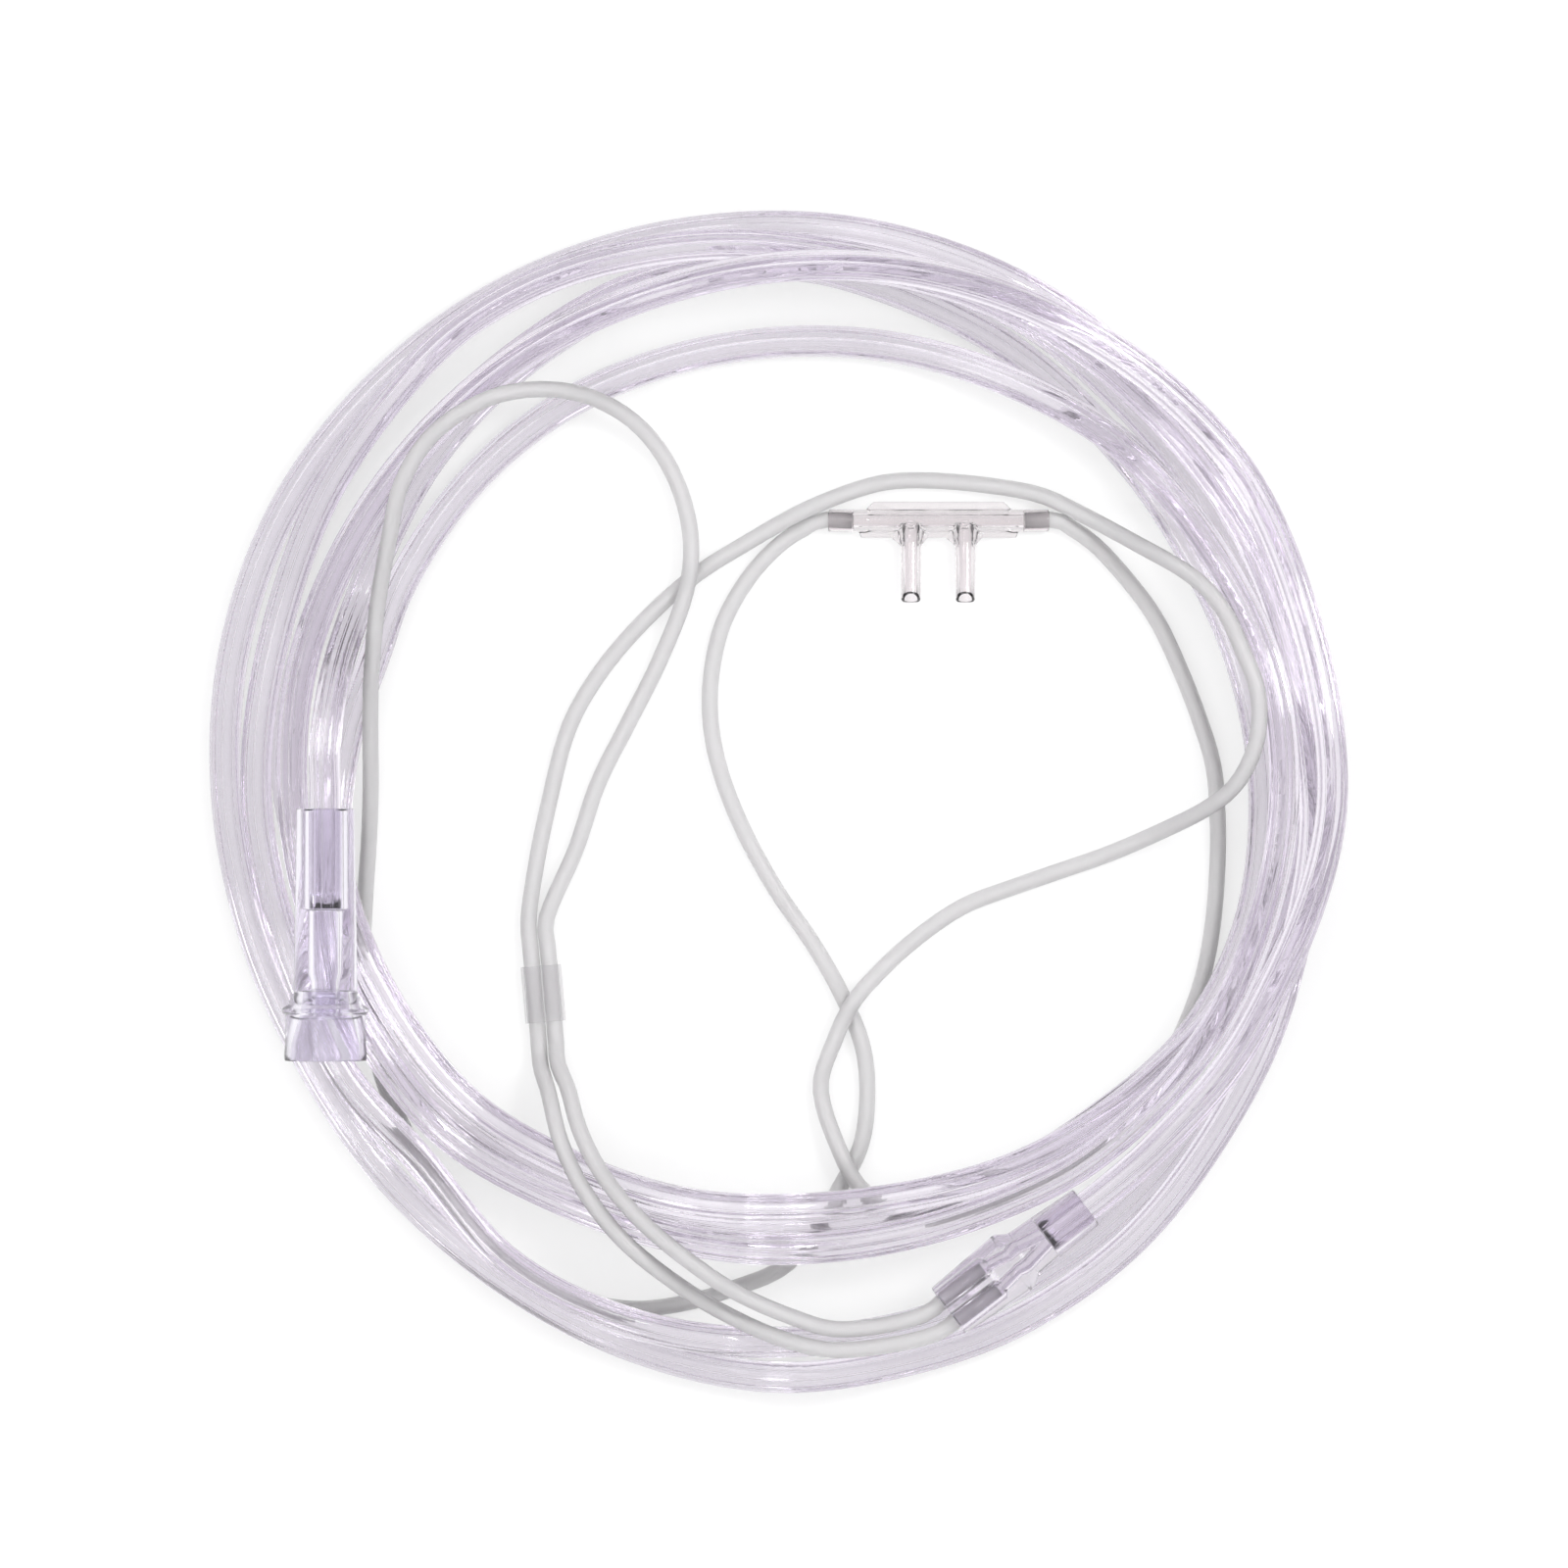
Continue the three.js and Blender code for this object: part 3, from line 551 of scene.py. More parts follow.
class Wire:
    """A node's output that takes part in Python sums."""

    def __init__(self, bench, socket):
        self.bench = bench
        self.socket = socket

    def math(self, operation, other=None):
        """A Math node on this value, or on this value and another."""
        values = {0: self} if other is None else {0: self, 1: other}
        return self.bench.node("ShaderNodeMath", {"operation": operation}, values)

    def __add__(self, other):
        return self.math("ADD", other)

    def __mul__(self, other):
        return self.math("MULTIPLY", other)

    def __sub__(self, other):
        return self.math("SUBTRACT", other)

    def __truediv__(self, other):
        return self.math("DIVIDE", other)

    def __pow__(self, other):
        return self.math("POWER", other)

    def __rsub__(self, other):
        return self.bench.node("ShaderNodeMath", {"operation": "SUBTRACT"}, {0: other, 1: self})

    __radd__ = __add__
    __rmul__ = __mul__


class Bench:
    """Adds nodes to one tree."""

    def __init__(self, tree):
        self.tree = tree

    def node(self, kind, settings=None, values=None, output=0):
        """A node with its settings and its sockets' values or links, as one output's wire."""
        made = self.tree.nodes.new(kind)
        for name, value in (settings or {}).items():
            if name == "stops":
                for index, (place, color) in enumerate(value):
                    stops = made.color_ramp.elements
                    stop = stops[index] if index < 2 else stops.new(place)
                    stop.position = place
                    stop.color = color
            else:
                setattr(made, name, value)
        for name, value in (values or {}).items():
            if isinstance(value, Wire):
                self.tree.links.new(value.socket, made.inputs[name])
            elif isinstance(value, (list, tuple)) and value and isinstance(value[0], Wire):
                for wire in value:
                    self.tree.links.new(wire.socket, made.inputs[name])
            else:
                made.inputs[name].default_value = value
        return None if output is None else Wire(self, made.outputs[output])

    def out(self, wire, name):
        """Another output of the node that a wire comes from."""
        return Wire(self, wire.socket.node.outputs[name])

    def mix(self, share, one, two):
        """A colour between two others."""
        return self.node("ShaderNodeMix", {"data_type": "RGBA"}, {0: share, 6: one, 7: two}, 2)


def plastic(name, color, clearness, roughness, ior, streaks, grain, ripple=0.1, milk=0.0):
    """A moulded or drawn plastic: cloudy tint, uneven gloss and a fine uneven surface."""
    material = bpy.data.materials.new(name)
    material.use_nodes = True
    shader = material.node_tree.nodes["Principled BSDF"]
    bench = Bench(material.node_tree)
    place = bench.node("ShaderNodeTexCoord", output="Object")
    cloud = bench.node("ShaderNodeTexNoise", None, {
        "Vector": place, "Scale": streaks, "Detail": 3.0, "Roughness": 0.5}, "Fac")
    fine = bench.node("ShaderNodeTexNoise", None, {
        "Vector": place, "Scale": grain, "Detail": 2.0, "Roughness": 0.6}, "Fac")
    deep = tuple(channel ** 1.5 for channel in color)
    tinted = bench.mix(cloud, (*color, 1), (*deep, 1))
    gloss = cloud * (0.6 * roughness) + fine * (0.4 * roughness) + 0.5 * roughness
    bump = bench.node("ShaderNodeBump", None, {
        "Strength": ripple, "Distance": 0.00004, "Height": fine})
    links = material.node_tree.links
    links.new(tinted.socket, shader.inputs["Base Color"])
    links.new(gloss.socket, shader.inputs["Roughness"])
    links.new(bump.socket, shader.inputs["Normal"])
    shader.inputs["IOR"].default_value = ior
    shader.inputs["Transmission Weight"].default_value = clearness
    if milk:
        shader.inputs["Subsurface Weight"].default_value = milk
        shader.inputs["Subsurface Radius"].default_value = (1.0, 0.95, 0.98)
        shader.inputs["Subsurface Scale"].default_value = 0.002
    return material


def new_tree(name, inputs):
    """A geometry tree with named inputs, and its bench, input wires and input sockets."""
    tree = bpy.data.node_groups.new(name, "GeometryNodeTree")
    tree.interface.new_socket(name="Geometry", in_out="INPUT", socket_type="NodeSocketGeometry")
    tree.interface.new_socket(
        name="Geometry", in_out="OUTPUT", socket_type="NodeSocketGeometry")
    sockets = {}
    for label, kind in inputs.items():
        sockets[label] = tree.interface.new_socket(
            name=label, in_out="INPUT", socket_type=kind)
    bench = Bench(tree)
    start = bench.node("NodeGroupInput")
    wires = {label: bench.out(start, label) for label in ("Geometry", *inputs)}
    return tree, bench, wires, sockets


def close_tree(bench, geometry, material):
    """Ends a geometry tree in real, smooth geometry with its material."""
    real = bench.node("GeometryNodeRealizeInstances", None, {"Geometry": geometry})
    smooth = bench.node("GeometryNodeSetShadeSmooth", None, {"Geometry": real})
    painted = bench.node("GeometryNodeSetMaterial", None, {
        "Geometry": smooth, "Material": material})
    bench.node("NodeGroupOutput", None, {"Geometry": painted}, None)


def tube_tree():
    """A tube that follows a curve, with a wall and a ribbed bore."""
    tree, bench, wires, sockets = new_tree("Ribbed tube", {
        "Outer Diameter": "NodeSocketFloat",
        "Bore Diameter": "NodeSocketFloat",
        "Rib Depth": "NodeSocketFloat",
        "Ribs": "NodeSocketInt",
        "Rib Width": "NodeSocketFloat",
        "Wall Sides": "NodeSocketInt",
        "Bore Sides": "NodeSocketInt",
        "Material": "NodeSocketMaterial",
    })
    upright = bench.node("GeometryNodeSetCurveNormal", {"mode": "Z_UP"}, {
        "Curve": wires["Geometry"]})
    outer = bench.node("GeometryNodeCurvePrimitiveCircle", None, {
        "Resolution": wires["Wall Sides"], "Radius": wires["Outer Diameter"] * 0.5})
    bore = bench.node("GeometryNodeCurvePrimitiveCircle", None, {
        "Resolution": wires["Bore Sides"], "Radius": wires["Bore Diameter"] * 0.5})
    position = bench.node("GeometryNodeInputPosition")
    parts = bench.node("ShaderNodeSeparateXYZ", None, {"Vector": position})
    angle = bench.out(parts, "Y").math("ARCTAN2", bench.out(parts, "X"))
    wave = (angle * wires["Ribs"]).math("COSINE") * 0.5 + 0.5
    narrow = wave ** wires["Rib Width"] * wires["Rib Depth"] / (wires["Bore Diameter"] * 0.5)
    ribbed = bench.node("ShaderNodeVectorMath", {"operation": "SCALE"}, {
        "Vector": position, "Scale": 1 - narrow})
    star = bench.node("GeometryNodeSetPosition", None, {"Geometry": bore, "Position": ribbed})
    shells = [
        bench.node("GeometryNodeCurveToMesh", None, {"Curve": upright, "Profile Curve": outline})
        for outline in (outer, star)
    ]
    joined = bench.node("GeometryNodeJoinGeometry", None, {"Geometry": shells})
    close_tree(bench, joined, wires["Material"])
    return tree, sockets


def close_ends(mesh, ends):
    """Joins the wall to the bore at both ends of a tube, and turns its faces outwards."""
    shape = bmesh.new()
    shape.from_mesh(mesh)
    rims = [edge for edge in shape.edges if edge.is_boundary]
    for end in ends:
        near = [edge for edge in rims if (edge.verts[0].co - Vector(end)).length < 0.01]
        bmesh.ops.bridge_loops(shape, edges=near)
    bmesh.ops.recalc_face_normals(shape, faces=shape.faces)
    for face in shape.faces:
        face.smooth = True
    shape.to_mesh(mesh)
    shape.free()


def tube_mesh(name, path, sizes, material):
    """A tube along a path, made by its geometry tree and turned into a plain mesh."""
    curve = bpy.data.curves.new(name, "CURVE")
    curve.dimensions = "3D"
    spline = curve.splines.new("POLY")
    spline.points.add(len(path) - 1)
    spline.points.foreach_set("co", np.column_stack([path, np.ones(len(path))]).ravel())
    holder = bpy.data.objects.new(name, curve)
    bpy.context.scene.collection.objects.link(holder)
    tree, sockets = tube_tree()
    modifier = holder.modifiers.new("Tube", "NODES")
    modifier.node_group = tree
    for label, value in {**sizes, "Material": material}.items():
        modifier[sockets[label].identifier] = value
    mesh = plain_mesh(holder, name)
    close_ends(mesh, (path[0], path[-1]))
    return mesh


def plain_mesh(holder, name):
    """The evaluated mesh of an object, which is then removed."""
    bpy.context.view_layer.update()
    evaluated = holder.evaluated_get(bpy.context.evaluated_depsgraph_get())
    mesh = bpy.data.meshes.new_from_object(evaluated)
    mesh.name = name
    holder.modifiers.clear()
    data = holder.data
    bpy.data.objects.remove(holder)
    if isinstance(data, bpy.types.Curve):
        bpy.data.curves.remove(data)
    else:
        bpy.data.meshes.remove(data)
    return mesh


def piece_of(name, mesh, material, body, node):
    """Makes a finished piece of a mesh, hangs it on its body and hides the part that it stands for.
    """
    mesh.materials.clear()
    mesh.materials.append(material)
    piece = bpy.data.objects.new(name, mesh)
    bpy.context.scene.collection.objects.link(piece)
    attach(piece, body)
    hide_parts(node)
    return piece


def seat(start, turn, height):
    """Where a straight piece lies: its own X runs along it."""
    return Matrix.Translation((*start, height)) @ Matrix.Rotation(math.radians(turn), 4, "Z")


def mesh_of(name, points, faces):
    """A mesh with merged doubles and faces that point outwards."""
    mesh = bpy.data.meshes.new(name)
    mesh.from_pydata([tuple(point) for point in points], [], faces)
    shape = bmesh.new()
    shape.from_mesh(mesh)
    bmesh.ops.remove_doubles(shape, verts=shape.verts, dist=1e-7)
    bmesh.ops.recalc_face_normals(shape, faces=shape.faces)
    for face in shape.faces:
        face.smooth = True
    shape.to_mesh(mesh)
    shape.free()
    return mesh


def lofted(name, rings, closed=False):
    """A skin over rings of equally many points: a closed band, or with its ends filled."""
    count = len(rings[0])
    points = [point for ring in rings for point in ring]
    faces = []
    spans = len(rings) if closed else len(rings) - 1
    for row in range(spans):
        first, second = row * count, ((row + 1) % len(rings)) * count
        for side in range(count):
            after = (side + 1) % count
            faces.append((first + side, first + after, second + after, second + side))
    if not closed:
        for ring, first in ((rings[0], 0), (rings[-1], (len(rings) - 1) * count)):
            middle = len(points)
            points.append(tuple(np.mean(ring, axis=0)))
            faces += [(first + side, first + (side + 1) % count, middle) for side in range(count)]
    return mesh_of(name, points, faces)


def softened(profile, size, closed=True, steps=4):
    """An outline with its corners rounded, and a point beside each so that flats stay flat."""
    points = [Vector(point) for point in profile]
    out = []
    for index, corner in enumerate(points):
        if not closed and index in (0, len(points) - 1):
            out.append(tuple(corner))
            continue
        before = points[index - 1] - corner
        after = points[(index + 1) % len(points)] - corner
        if before.length < 1e-6 or after.length < 1e-6 or before.angle(after) > 2.8:
            out.append(tuple(corner))
            continue
        reach = min(size, 0.38 * before.length, 0.38 * after.length)
        start = corner + before.normalized() * reach
        end = corner + after.normalized() * reach
        out.append(tuple(corner + before.normalized() * reach * 1.25))
        for step in range(steps + 1):
            share = step / steps
            one = start.lerp(corner, share)
            out.append(tuple(one.lerp(corner.lerp(end, share), share)))
        out.append(tuple(corner + after.normalized() * reach * 1.25))
    return out


def turned(name, profile, sides=64, closed=True):
    """A turned shape about X, from pairs of distance along it and radius."""
    rings = []
    for along, radius in profile:
        angles = [2 * math.pi * side / sides for side in range(sides)]
        rings.append([(along, radius * math.cos(a), radius * math.sin(a)) for a in angles])
    return lofted(name, rings, closed)


def rod(name, first, last, outer, tip=None, sides=ROD_SIDES, rounding=0.0003):
    """A turned rod along X with rounded ends."""
    tip = outer if tip is None else tip
    ends = [(first, AXIS), (first, outer / 2), (last, tip / 2), (last, AXIS)]
    return turned(name, softened(ends, rounding, closed=False), sides, closed=False)


def moved(mesh, matrix):
    """The same mesh somewhere else."""
    mesh.transform(matrix)
    return mesh


def holder_of(mesh):
    """A passing object that holds a mesh."""
    holder = bpy.data.objects.new(mesh.name, mesh)
    bpy.context.scene.collection.objects.link(holder)
    return holder


def blended(name, meshes, voxel, smoothing):
    """Several closed shapes grown together, as one moulded shape with soft inner corners."""
    points, faces = [], []
    for mesh in meshes:
        first = len(points)
        points += [tuple(vertex.co) for vertex in mesh.vertices]
        faces += [[first + index for index in face.vertices] for face in mesh.polygons]
        bpy.data.meshes.remove(mesh)
    whole = bpy.data.meshes.new(name)
    whole.from_pydata(points, [], faces)
    holder = holder_of(whole)
    grow = holder.modifiers.new("Grow", "REMESH")
    grow.mode = "VOXEL"
    grow.voxel_size = voxel
    soften = holder.modifiers.new("Soften", "SMOOTH")
    soften.factor = 0.5
    soften.iterations = smoothing
    return plain_mesh(holder, name)


def drilled(name, mesh, cutters):
    """A mesh with other shapes cut out of it, with crisp edges at the cuts."""
    holder = holder_of(mesh)
    tools = []
    for cutter in cutters:
        tool = holder_of(cutter)
        cut = holder.modifiers.new("Cut", "BOOLEAN")
        cut.operation = "DIFFERENCE"
        cut.solver = "EXACT"
        cut.object = tool
        tools.append(tool)
    out = plain_mesh(holder, name)
    for tool in tools:
        shape = tool.data
        bpy.data.objects.remove(tool)
        bpy.data.meshes.remove(shape)
    out.shade_smooth()
    out.set_sharp_from_angle(angle=CREASE)
    return out


def nose_mesh(sizes):
    """The nosepiece about its own middle: bar, sockets, flange and two prongs as one moulding."""
    half = sizes.length / 2
    rise = math.atan2(sizes.prong_rise, sizes.prong_reach)
    bar = rod("bar", -half + 0.004, half - 0.004, sizes.bar)
    parts = [bar]
    for end in (-1, 1):
        turn = Matrix.Rotation(0 if end > 0 else math.pi, 4, "Z")
        profile = [
            (half - 0.0105, AXIS), (half - 0.0105, sizes.bar / 2 - 0.0002),
            (half - 0.0088, sizes.socket / 2), (half, sizes.socket / 2 - 0.0001), (half, AXIS)]
        socket = turned("socket", softened(profile, 0.0004, closed=False), ROD_SIDES, closed=False)
        parts.append(moved(socket, turn))
    parts.append(flange_mesh(sizes))
    cutters = [rod("bar bore", -half + 0.005, half - 0.005, sizes.bar_bore)]
    socket_bore = sizes.socket - 0.001
    for end in (-1, 1):
        turn = Matrix.Rotation(0 if end > 0 else math.pi, 4, "Z")
        cutters.append(moved(
            rod("socket bore", half - sizes.socket_depth, half + 0.001, socket_bore), turn))
        root = Matrix.Translation((end * sizes.prong_spacing / 2 - 0.00015, 0, 0))
        aim = root @ Matrix.Rotation(-math.pi / 2, 4, "Z") @ Matrix.Rotation(-rise, 4, "Y")
        reach = math.hypot(sizes.prong_reach, sizes.prong_rise)
        collar = turned("collar", softened([
            (0.0012, AXIS), (0.0012, sizes.prong_outer / 2 + 0.0007),
            (0.0052, sizes.prong_outer / 2 + 0.0001), (0.0052, AXIS)], 0.0004, closed=False),
            ROD_SIDES, closed=False)
        prong = rod("prong", 0, reach, sizes.prong_outer, sizes.prong_tip, rounding=0.0016)
        parts += [moved(prong, aim), moved(collar, aim)]
        parts += [gusset_mesh(sizes, end, side) for side in (-1, 1)]
        bore = [
            (0, AXIS), (0, sizes.prong_bore / 2), (reach - 0.0011, sizes.prong_bore / 2),
            (reach - 0.0003, sizes.prong_bore / 2 + 0.00035),
            (reach + 0.0006, sizes.prong_bore / 2 + 0.0009), (reach + 0.0006, AXIS)]
        cutters.append(moved(turned("prong bore", bore, ROD_SIDES, closed=False), aim))
        mouth = aim @ Matrix.Translation((reach - 0.0014, 0, 0)) @ Matrix.Rotation(-0.95, 4, "Y")
        cutters.append(moved(rod("mouth", 0, 0.004, sizes.prong_bore * 1.04), mouth))
    whole = blended("moulding", parts, VOXEL, 5)
    return drilled("nosepiece_moulding", whole, cutters)


def flange_mesh(sizes):
    """The thin flange along the bar, wider below than above, with its ends drawn in."""
    half = sizes.flange_length / 2
    outline = []
    for side in (1, -1):
        for step in range(13):
            share = step / 12 if side > 0 else 1 - step / 12
            one = (1 - share) ** 2 * half + 2 * share * (1 - share) * (half + 0.0021)
            x = one + share ** 2 * (half - 0.003)
            y = -sizes.flange_below * (1 - share) ** 2 + sizes.flange_above * share ** 2
            outline.append((side * x, y))
    rings = []
    for inset, height in ((0.0003, -0.5), (0, -0.3), (0, 0.3), (0.0003, 0.5)):
        ring = []
        for x, y in outline:
            curl = 0.0006 * (y / sizes.flange_above) ** 2
            ring.append((x * (1 - inset / half), y * (1 - inset / 0.004),
                         height * sizes.flange_thick - curl))
        rings.append(ring)
    return lofted("flange", rings)


def gusset_mesh(sizes, end, side):
    """The small web in the corner between a prong and the flange."""
    x = end * sizes.prong_spacing / 2 + side * sizes.prong_outer * 0.36
    width = 0.0034 if side < 0 else 0.0022
    outline = [(x, -0.0024), (x + side * width, -0.0032), (x + side * width * 0.9, -0.0040),
               (x + side * width * 0.45, -0.0052), (x, -0.0066)]
    rings = [[(px, py, height) for px, py in outline] for height in (-0.0006, 0.0008)]
    return lofted("gusset", rings)


def sleeve_ring(along, width, height, sides=72, power=2.0):
    """A rounded section across X: an ellipse, or fuller with a higher power."""
    ring = []
    for side in range(sides):
        angle = 2 * math.pi * side / sides
        across, up = math.cos(angle), math.sin(angle)
        y = math.copysign(abs(across) ** (2 / power), across) * width / 2
        z = math.copysign(abs(up) ** (2 / power), up) * height / 2
        ring.append((along, y, z))
    return ring


def stadium_ring(along, width, height, sides=24):
    """A section across X with flat top and bottom and half-round sides."""
    half = (width - height) / 2
    ring = []
    for centre, first in ((half, -math.pi / 2), (-half, math.pi / 2)):
        for step in range(sides + 1):
            angle = first + math.pi * step / sides
            ring.append((along, centre + height / 2 * math.cos(angle),
                         height / 2 * math.sin(angle)))
    return ring


def slider_mesh(sizes, lariat_outer):
    """The flat sleeve about its own middle, with rounded lips at both ends."""
    bore_height = lariat_outer + 2 * FIT_GAP
    bore_width = sizes.spacing + bore_height
    wall, half = sizes.wall, sizes.length / 2
    profile = softened([(-half, 0), (half, 0), (half, wall), (-half, wall)], 0.00016)
    rings = [
        stadium_ring(along, bore_width + 2 * out, bore_height + 2 * out) for along, out in profile]
    return lofted("slider_sleeve", rings, closed=True)


def twin_mesh(sizes, lariat_outer, supply_outer):
    """The twin connector from its wide end: flat body, step and tapered barrel, drilled."""
    step, end = sizes.step_width, sizes.end_width
    outline = softened([
        (0, AXIS), (0, end / 2), (sizes.body_length - 0.0014, step / 2),
        (sizes.body_length + 0.0012, sizes.barrel / 2), (sizes.length, sizes.narrow / 2),
        (sizes.length, AXIS)], 0.0006, closed=False, steps=5)
    rings = []
    for along, half_width in outline:
        share = min(1, max(0, (along - sizes.body_length + 0.003) / 0.0042))
        share = share * share * (3 - 2 * share)
        flatness = sizes.flatness + (1 - sizes.flatness) * share
        power = 2.5 - 0.5 * share
        rings.append(sleeve_ring(along, 2 * half_width, 2 * half_width * flatness, power=power))
    whole = lofted("connector body", rings)
    socket = sizes.length - sizes.supply_depth
    lariat_bore = lariat_outer + 2 * FIT_GAP
    supply_bore = supply_outer + 2 * FIT_GAP
    cutters = [rod("supply bore", socket, sizes.length + 0.001, supply_bore)]
    for side in (-1, 1):
        beside = side * sizes.bore_spacing / 2
        bore = turned("lariat bore", [
            (-0.001, AXIS), (-0.001, lariat_bore / 2 + 0.0014), (0.0006, lariat_bore / 2),
            (sizes.lariat_depth, lariat_bore / 2), (sizes.lariat_depth + 0.0013, sizes.passage / 2),
            (sizes.lariat_depth + 0.0013, AXIS)], ROD_SIDES, closed=False)
        cutters.append(moved(bore, Matrix.Translation((0, beside, 0))))
        reach = socket - sizes.lariat_depth
        turn = math.atan2(-beside * 0.7, reach)
        passage = rod("passage", -0.0008, reach + 0.001, sizes.passage)
        place = Matrix.Translation((sizes.lariat_depth, beside, 0))
        cutters.append(moved(passage, place @ Matrix.Rotation(turn, 4, "Z")))
    return drilled("twin_connector_moulding", whole, cutters)


def cup_mesh(sizes, supply_outer):
    """The supply connector from the tube's end: sleeve, flange and flared cup in one turning."""
    flange_end = sizes.flange_at + sizes.flange_thick
    nozzle_end = sizes.throat_at + sizes.nozzle_reach
    mouth, throat, nozzle = sizes.mouth / 2, sizes.throat / 2, sizes.nozzle / 2
    socket = supply_outer / 2 + FIT_GAP
    sleeve, foot, flange, cup = (
        size / 2 for size in (sizes.sleeve, sizes.sleeve_low, sizes.flange, sizes.cup))
    profile = [
        (0, sleeve), (sizes.sleeve_length * 0.45, sleeve + 0.0003), (sizes.sleeve_length, foot),
        (sizes.sleeve_length + 0.0012, foot + 0.0006), (sizes.flange_at - 0.0008, flange - 0.0012),
        (sizes.flange_at, flange), (flange_end, flange), (flange_end + 0.0003, cup - 0.0002),
        (sizes.length - 0.004, cup - 0.0002), (sizes.length - 0.0014, cup),
        (sizes.length, cup - 0.0001), (sizes.length, mouth + 0.0001),
        (sizes.length - 0.0016, mouth - 0.0003), (sizes.length - 0.004, mouth - 0.0006),
        (sizes.throat_at + 0.004, throat + 0.0003), (sizes.throat_at, throat),
        (sizes.throat_at, nozzle), (nozzle_end - 0.0022, nozzle),
        (nozzle_end - 0.0018, nozzle - 0.0004),
        (nozzle_end - 0.0006, nozzle - 0.0002), (nozzle_end, nozzle - 0.0006),
        (nozzle_end, sizes.nozzle_bore / 2), (sizes.throat_at - 0.002, sizes.nozzle_bore / 2),
        (sizes.throat_at - 0.004, sizes.bore / 2), (sizes.stop_at + 0.0004, sizes.bore / 2),
        (sizes.stop_at, sizes.bore / 2 + 0.0003), (sizes.stop_at, socket), (0.0006, socket),
        (0, socket + 0.0005),
    ]
    return turned("supply_connector_turning", softened(profile, 0.0003), CUP_SIDES)


laid = {}


class CANNULA_OT_stage(Operator):
    """Makes the floor, the studio light and the camera straight above"""

    bl_idname = "cannula.stage"
    bl_label = "Stage"

    def execute(self, context):
        scene = context.scene
        color = scene.cannula.finishes.floor
        corners = [(x * FLOOR_REACH, y * FLOOR_REACH, -FLOOR_DROP)
                   for x, y in ((-1, -1), (1, -1), (1, 1), (-1, 1))]
        mesh = bpy.data.meshes.new("floor")
        mesh.from_pydata(corners, [], [(0, 1, 2, 3)])
        material = bpy.data.materials.new("pale floor")
        material.use_nodes = True
        shader = material.node_tree.nodes["Principled BSDF"]
        shader.inputs["Base Color"].default_value = (*color, 1)
        shader.inputs["Roughness"].default_value = 0.9
        shader.inputs["Specular IOR Level"].default_value = 0.1
        shader.inputs["Emission Color"].default_value = (1, 1, 1, 1)
        shader.inputs["Emission Strength"].default_value = FLOOR_GLOW
        mesh.materials.append(material)
        floor = bpy.data.objects.new("floor", mesh)
        scene.collection.objects.link(floor)
        self.light(scene)
        camera = bpy.data.cameras.new("camera")
        camera.lens = LENS
        camera.sensor_width = SENSOR_WIDTH
        camera.clip_end = 20
        eye = bpy.data.objects.new("camera", camera)
        eye.location = (*CAMERA_OVER, MIDDLE_HEIGHT + FRAME_WIDTH * LENS / SENSOR_WIDTH)
        scene.collection.objects.link(eye)
        scene.camera = eye
        scene.view_settings.view_transform = "Standard"
        for name, count in BOUNCES.items():
            setattr(scene.cycles, name, count)
        scene.cycles.caustics_refractive = True
        return {"FINISHED"}

    def light(self, scene):
        """A pale sky that is darker towards the horizon, and soft lamps above."""
        world = bpy.data.worlds.new("studio")
        scene.world = world
        world.use_nodes = True
        bench = Bench(world.node_tree)
        ray = bench.node("ShaderNodeTexCoord", output="Generated")
        up = bench.out(bench.node("ShaderNodeSeparateXYZ", None, {"Vector": ray}), "Z")
        sky = bench.node("ShaderNodeValToRGB", {"stops": SKY}, {"Fac": up})
        back = world.node_tree.nodes["Background"]
        world.node_tree.links.new(sky.socket, back.inputs["Color"])
        back.inputs["Strength"].default_value = SKY_STRENGTH
        for name, azimuth, elevation, away, size, power in LAMPS:
            lamp = bpy.data.lights.new(name, "AREA")
            lamp.size = size
            lamp.energy = power
            thing = bpy.data.objects.new(name, lamp)
            turn, lift = math.radians(azimuth), math.radians(elevation)
            place = Vector((math.cos(turn) * math.cos(lift), math.sin(turn) * math.cos(lift),
                            math.sin(lift))) * away
            thing.location = place
            thing.rotation_euler = (-place).to_track_quat("-Z", "Y").to_euler()
            scene.collection.objects.link(thing)


class CANNULA_OT_supply_connector(Operator):
    """Makes the sleeve with its flared cup at the supply tube's far end"""

    bl_idname = "cannula.supply_connector"
    bl_label = "Supply Connector"

    def execute(self, context):
        settings = context.scene.cannula
        laid.update(lay_out(settings))
        mesh = cup_mesh(settings.cup, settings.tubes.supply_outer)
        moved(mesh, seat(CUP_TOP, CUP_TURN, laid["heights"][CUP]))
        material = plastic("violet_clear_vinyl", settings.finishes.cup, 1.0, 0.1, 1.38, 55, 900)
        piece_of("supply_connector_turning", mesh, material, BODY,
                 "supply_connector")
        return {"FINISHED"}


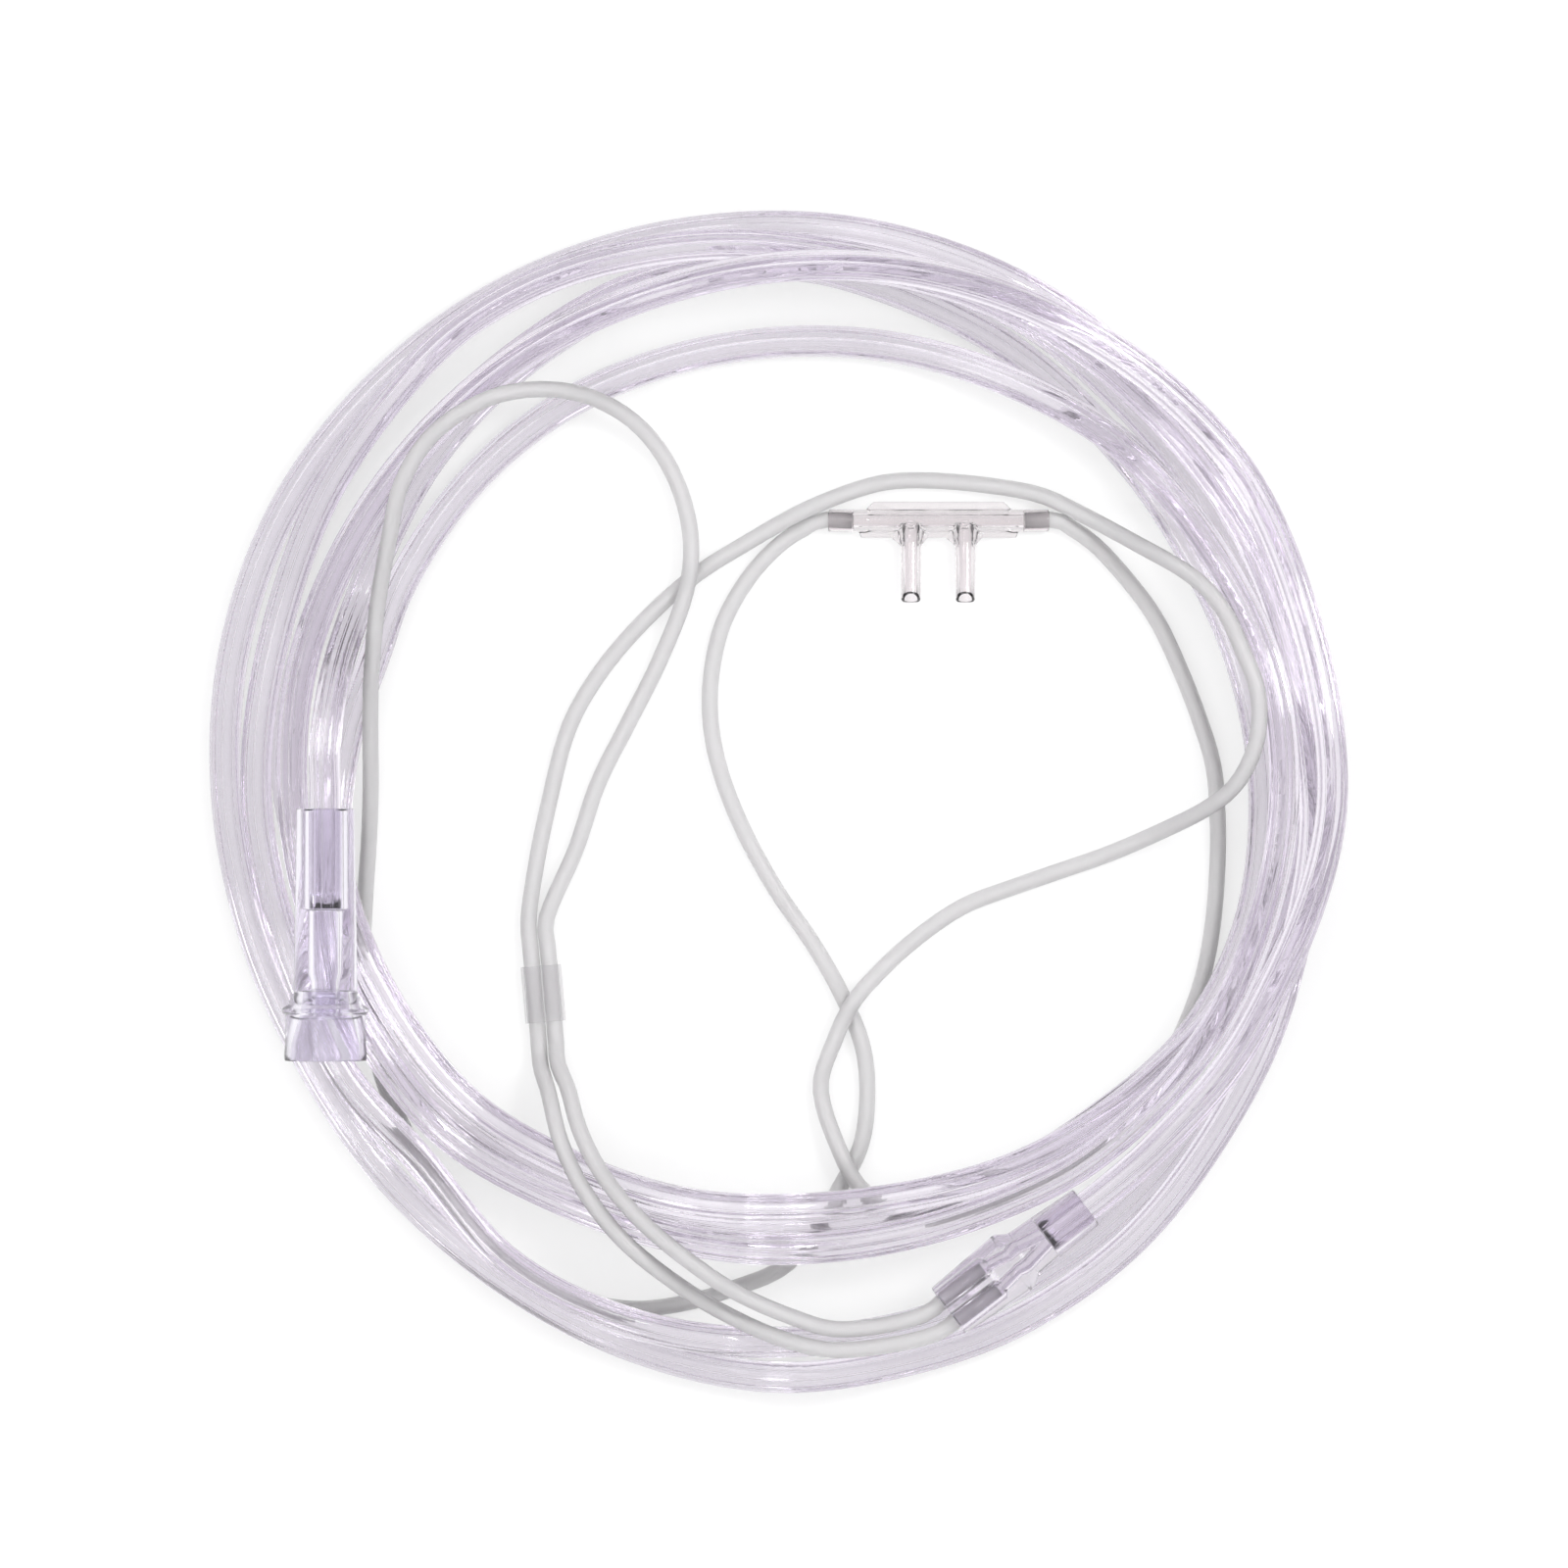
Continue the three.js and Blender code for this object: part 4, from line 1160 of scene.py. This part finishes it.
class CANNULA_OT_supply_tube(Operator):
    """Makes the coiled supply tube with its ribbed bore"""

    bl_idname = "cannula.supply_tube"
    bl_label = "Supply Tube"

    def execute(self, context):
        settings = context.scene.cannula
        tubes = settings.tubes
        material = plastic("clear_lilac_pvc", settings.finishes.supply, 1.0, 0.02, 1.5, 40, 120,
                           ripple=0.003)
        path = laid["supply"].path(SUPPLY_STEP)
        mesh = tube_mesh("supply_tube_wall", path, {
            "Outer Diameter": tubes.supply_outer,
            "Bore Diameter": tubes.supply_bore,
            "Rib Depth": tubes.rib_depth,
            "Ribs": tubes.supply_ribs,
            "Rib Width": 3.0,
            "Wall Sides": WALL_SIDES,
            "Bore Sides": BORE_SIDES,
        }, material)
        tube = piece_of("supply_tube_wall", mesh, material, BODY,
                        "supply_tube")
        exit_x, exit_y = on_line(TWIN_START, TWIN_TURN, settings.twin.length)
        return {"FINISHED"}


class CANNULA_OT_lariats(Operator):
    """Makes the two lariats between the nosepiece and the twin connector"""

    bl_idname = "cannula.lariats"
    bl_label = "Lariats"

    def execute(self, context):
        settings = context.scene.cannula
        tubes = settings.tubes
        material = plastic("milky_pvc", settings.finishes.lariat, 0.55, 0.42, 1.4, 60, 900,
                           milk=0.5)
        for side, direction, length in (
                ("left", -1, tubes.left_length), ("right", 1, tubes.right_length)):
            path = laid[side].path(LARIAT_STEP)
            mesh = tube_mesh(f"lariat_{side}_wall", path, {
                "Outer Diameter": tubes.lariat_outer,
                "Bore Diameter": tubes.lariat_bore,
                "Rib Depth": 0.0,
                "Ribs": 3,
                "Rib Width": 2.0,
                "Wall Sides": WALL_SIDES,
                "Bore Sides": LARIAT_BORE_SIDES,
            }, material)
            tube = piece_of(f"lariat_{side}_wall", mesh, material, BODY,
                            f"lariat_{side}")
            exit_x, exit_y = on_line(NOSE_MIDDLE, 0, direction * settings.nose.length / 2)
        return {"FINISHED"}


class CANNULA_OT_nosepiece(Operator):
    """Makes the soft nosepiece with its two prongs"""

    bl_idname = "cannula.nosepiece"
    bl_label = "Nosepiece"

    def execute(self, context):
        settings = context.scene.cannula
        mesh = moved(nose_mesh(settings.nose), seat(NOSE_MIDDLE, 0, laid["heights"][NOSE]))
        material = plastic("soft_clear_vinyl", settings.finishes.nose, 1.0, 0.09, 1.48, 90, 800)
        piece_of("nosepiece_moulding", mesh, material, BODY, "nosepiece")
        return {"FINISHED"}


class CANNULA_OT_slider(Operator):
    """Makes the clear sleeve that slides along both lariats"""

    bl_idname = "cannula.slider"
    bl_label = "Slider"

    def execute(self, context):
        settings = context.scene.cannula
        mesh = slider_mesh(settings.slider, settings.tubes.lariat_outer)
        moved(mesh, seat(SLIDER_MIDDLE, SLIDER_TURN - 90, laid["heights"][SLIDER]))
        material = plastic("slider_vinyl", settings.finishes.slider, 0.0, 0.1, 1.49, 120, 900)
        shader = material.node_tree.nodes["Principled BSDF"]
        bench = Bench(material.node_tree)
        facing = bench.node("ShaderNodeLayerWeight", None, {"Blend": 0.5}, "Facing")
        alpha = facing ** 3 * 0.5 + 0.12
        material.node_tree.links.new(alpha.socket, shader.inputs["Alpha"])
        piece_of("slider_sleeve", mesh, material, SLIDER_BODY, "slider")
        return {"FINISHED"}


class CANNULA_OT_twin_connector(Operator):
    """Makes the connector that joins both lariats to the supply tube"""

    bl_idname = "cannula.twin_connector"
    bl_label = "Twin Connector"

    def execute(self, context):
        settings = context.scene.cannula
        tubes = settings.tubes
        mesh = twin_mesh(settings.twin, tubes.lariat_outer, tubes.supply_outer)
        moved(mesh, seat(TWIN_START, TWIN_TURN, laid["heights"][TWIN]))
        material = plastic("grey_clear_vinyl", settings.finishes.twin, 1.0, 0.13, 1.42, 70, 800)
        piece_of("twin_connector_moulding", mesh, material, BODY,
                 "twin_connector")
        return {"FINISHED"}


class CANNULA_PT_sidebar(Panel):
    """Lists the cannula's pieces and their sizes"""

    bl_idname = "CANNULA_PT_sidebar"
    bl_label = "Nasal Cannula"
    bl_space_type = "VIEW_3D"
    bl_region_type = "UI"
    bl_category = "Cannula"

    def draw(self, context):
        settings = context.scene.cannula
        for operator in OPERATORS:
            self.layout.operator(operator.bl_idname)
        for name in ("tubes", "nose", "slider", "twin", "cup", "finishes"):
            group = getattr(settings, name)
            box = self.layout.box()
            for label in group.__annotations__:
                box.prop(group, label)


OPERATORS = (
    CANNULA_OT_stage,
    CANNULA_OT_supply_connector,
    CANNULA_OT_supply_tube,
    CANNULA_OT_lariats,
    CANNULA_OT_nosepiece,
    CANNULA_OT_slider,
    CANNULA_OT_twin_connector,
)
SETTINGS = (TubeSizes, NoseSizes, SliderSizes, TwinSizes, CupSizes, Finishes, CannulaSettings)
CLASSES = (*SETTINGS, *OPERATORS, CANNULA_PT_sidebar)


def register():
    """Registers the add-on's classes and settings."""
    for kind in CLASSES:
        bpy.utils.register_class(kind)
    bpy.types.Scene.cannula = PointerProperty(type=CannulaSettings)


def unregister():
    """Takes the add-on's classes and settings away again."""
    del bpy.types.Scene.cannula
    for kind in reversed(CLASSES):
        bpy.utils.unregister_class(kind)


def main():
    """Builds the stage and every piece."""
    register()
    bpy.ops.cannula.stage()
    bpy.ops.cannula.supply_connector()
    bpy.ops.cannula.supply_tube()
    bpy.ops.cannula.lariats()
    bpy.ops.cannula.nosepiece()
    bpy.ops.cannula.slider()
    bpy.ops.cannula.twin_connector()


if __name__ == "__main__":
    main()
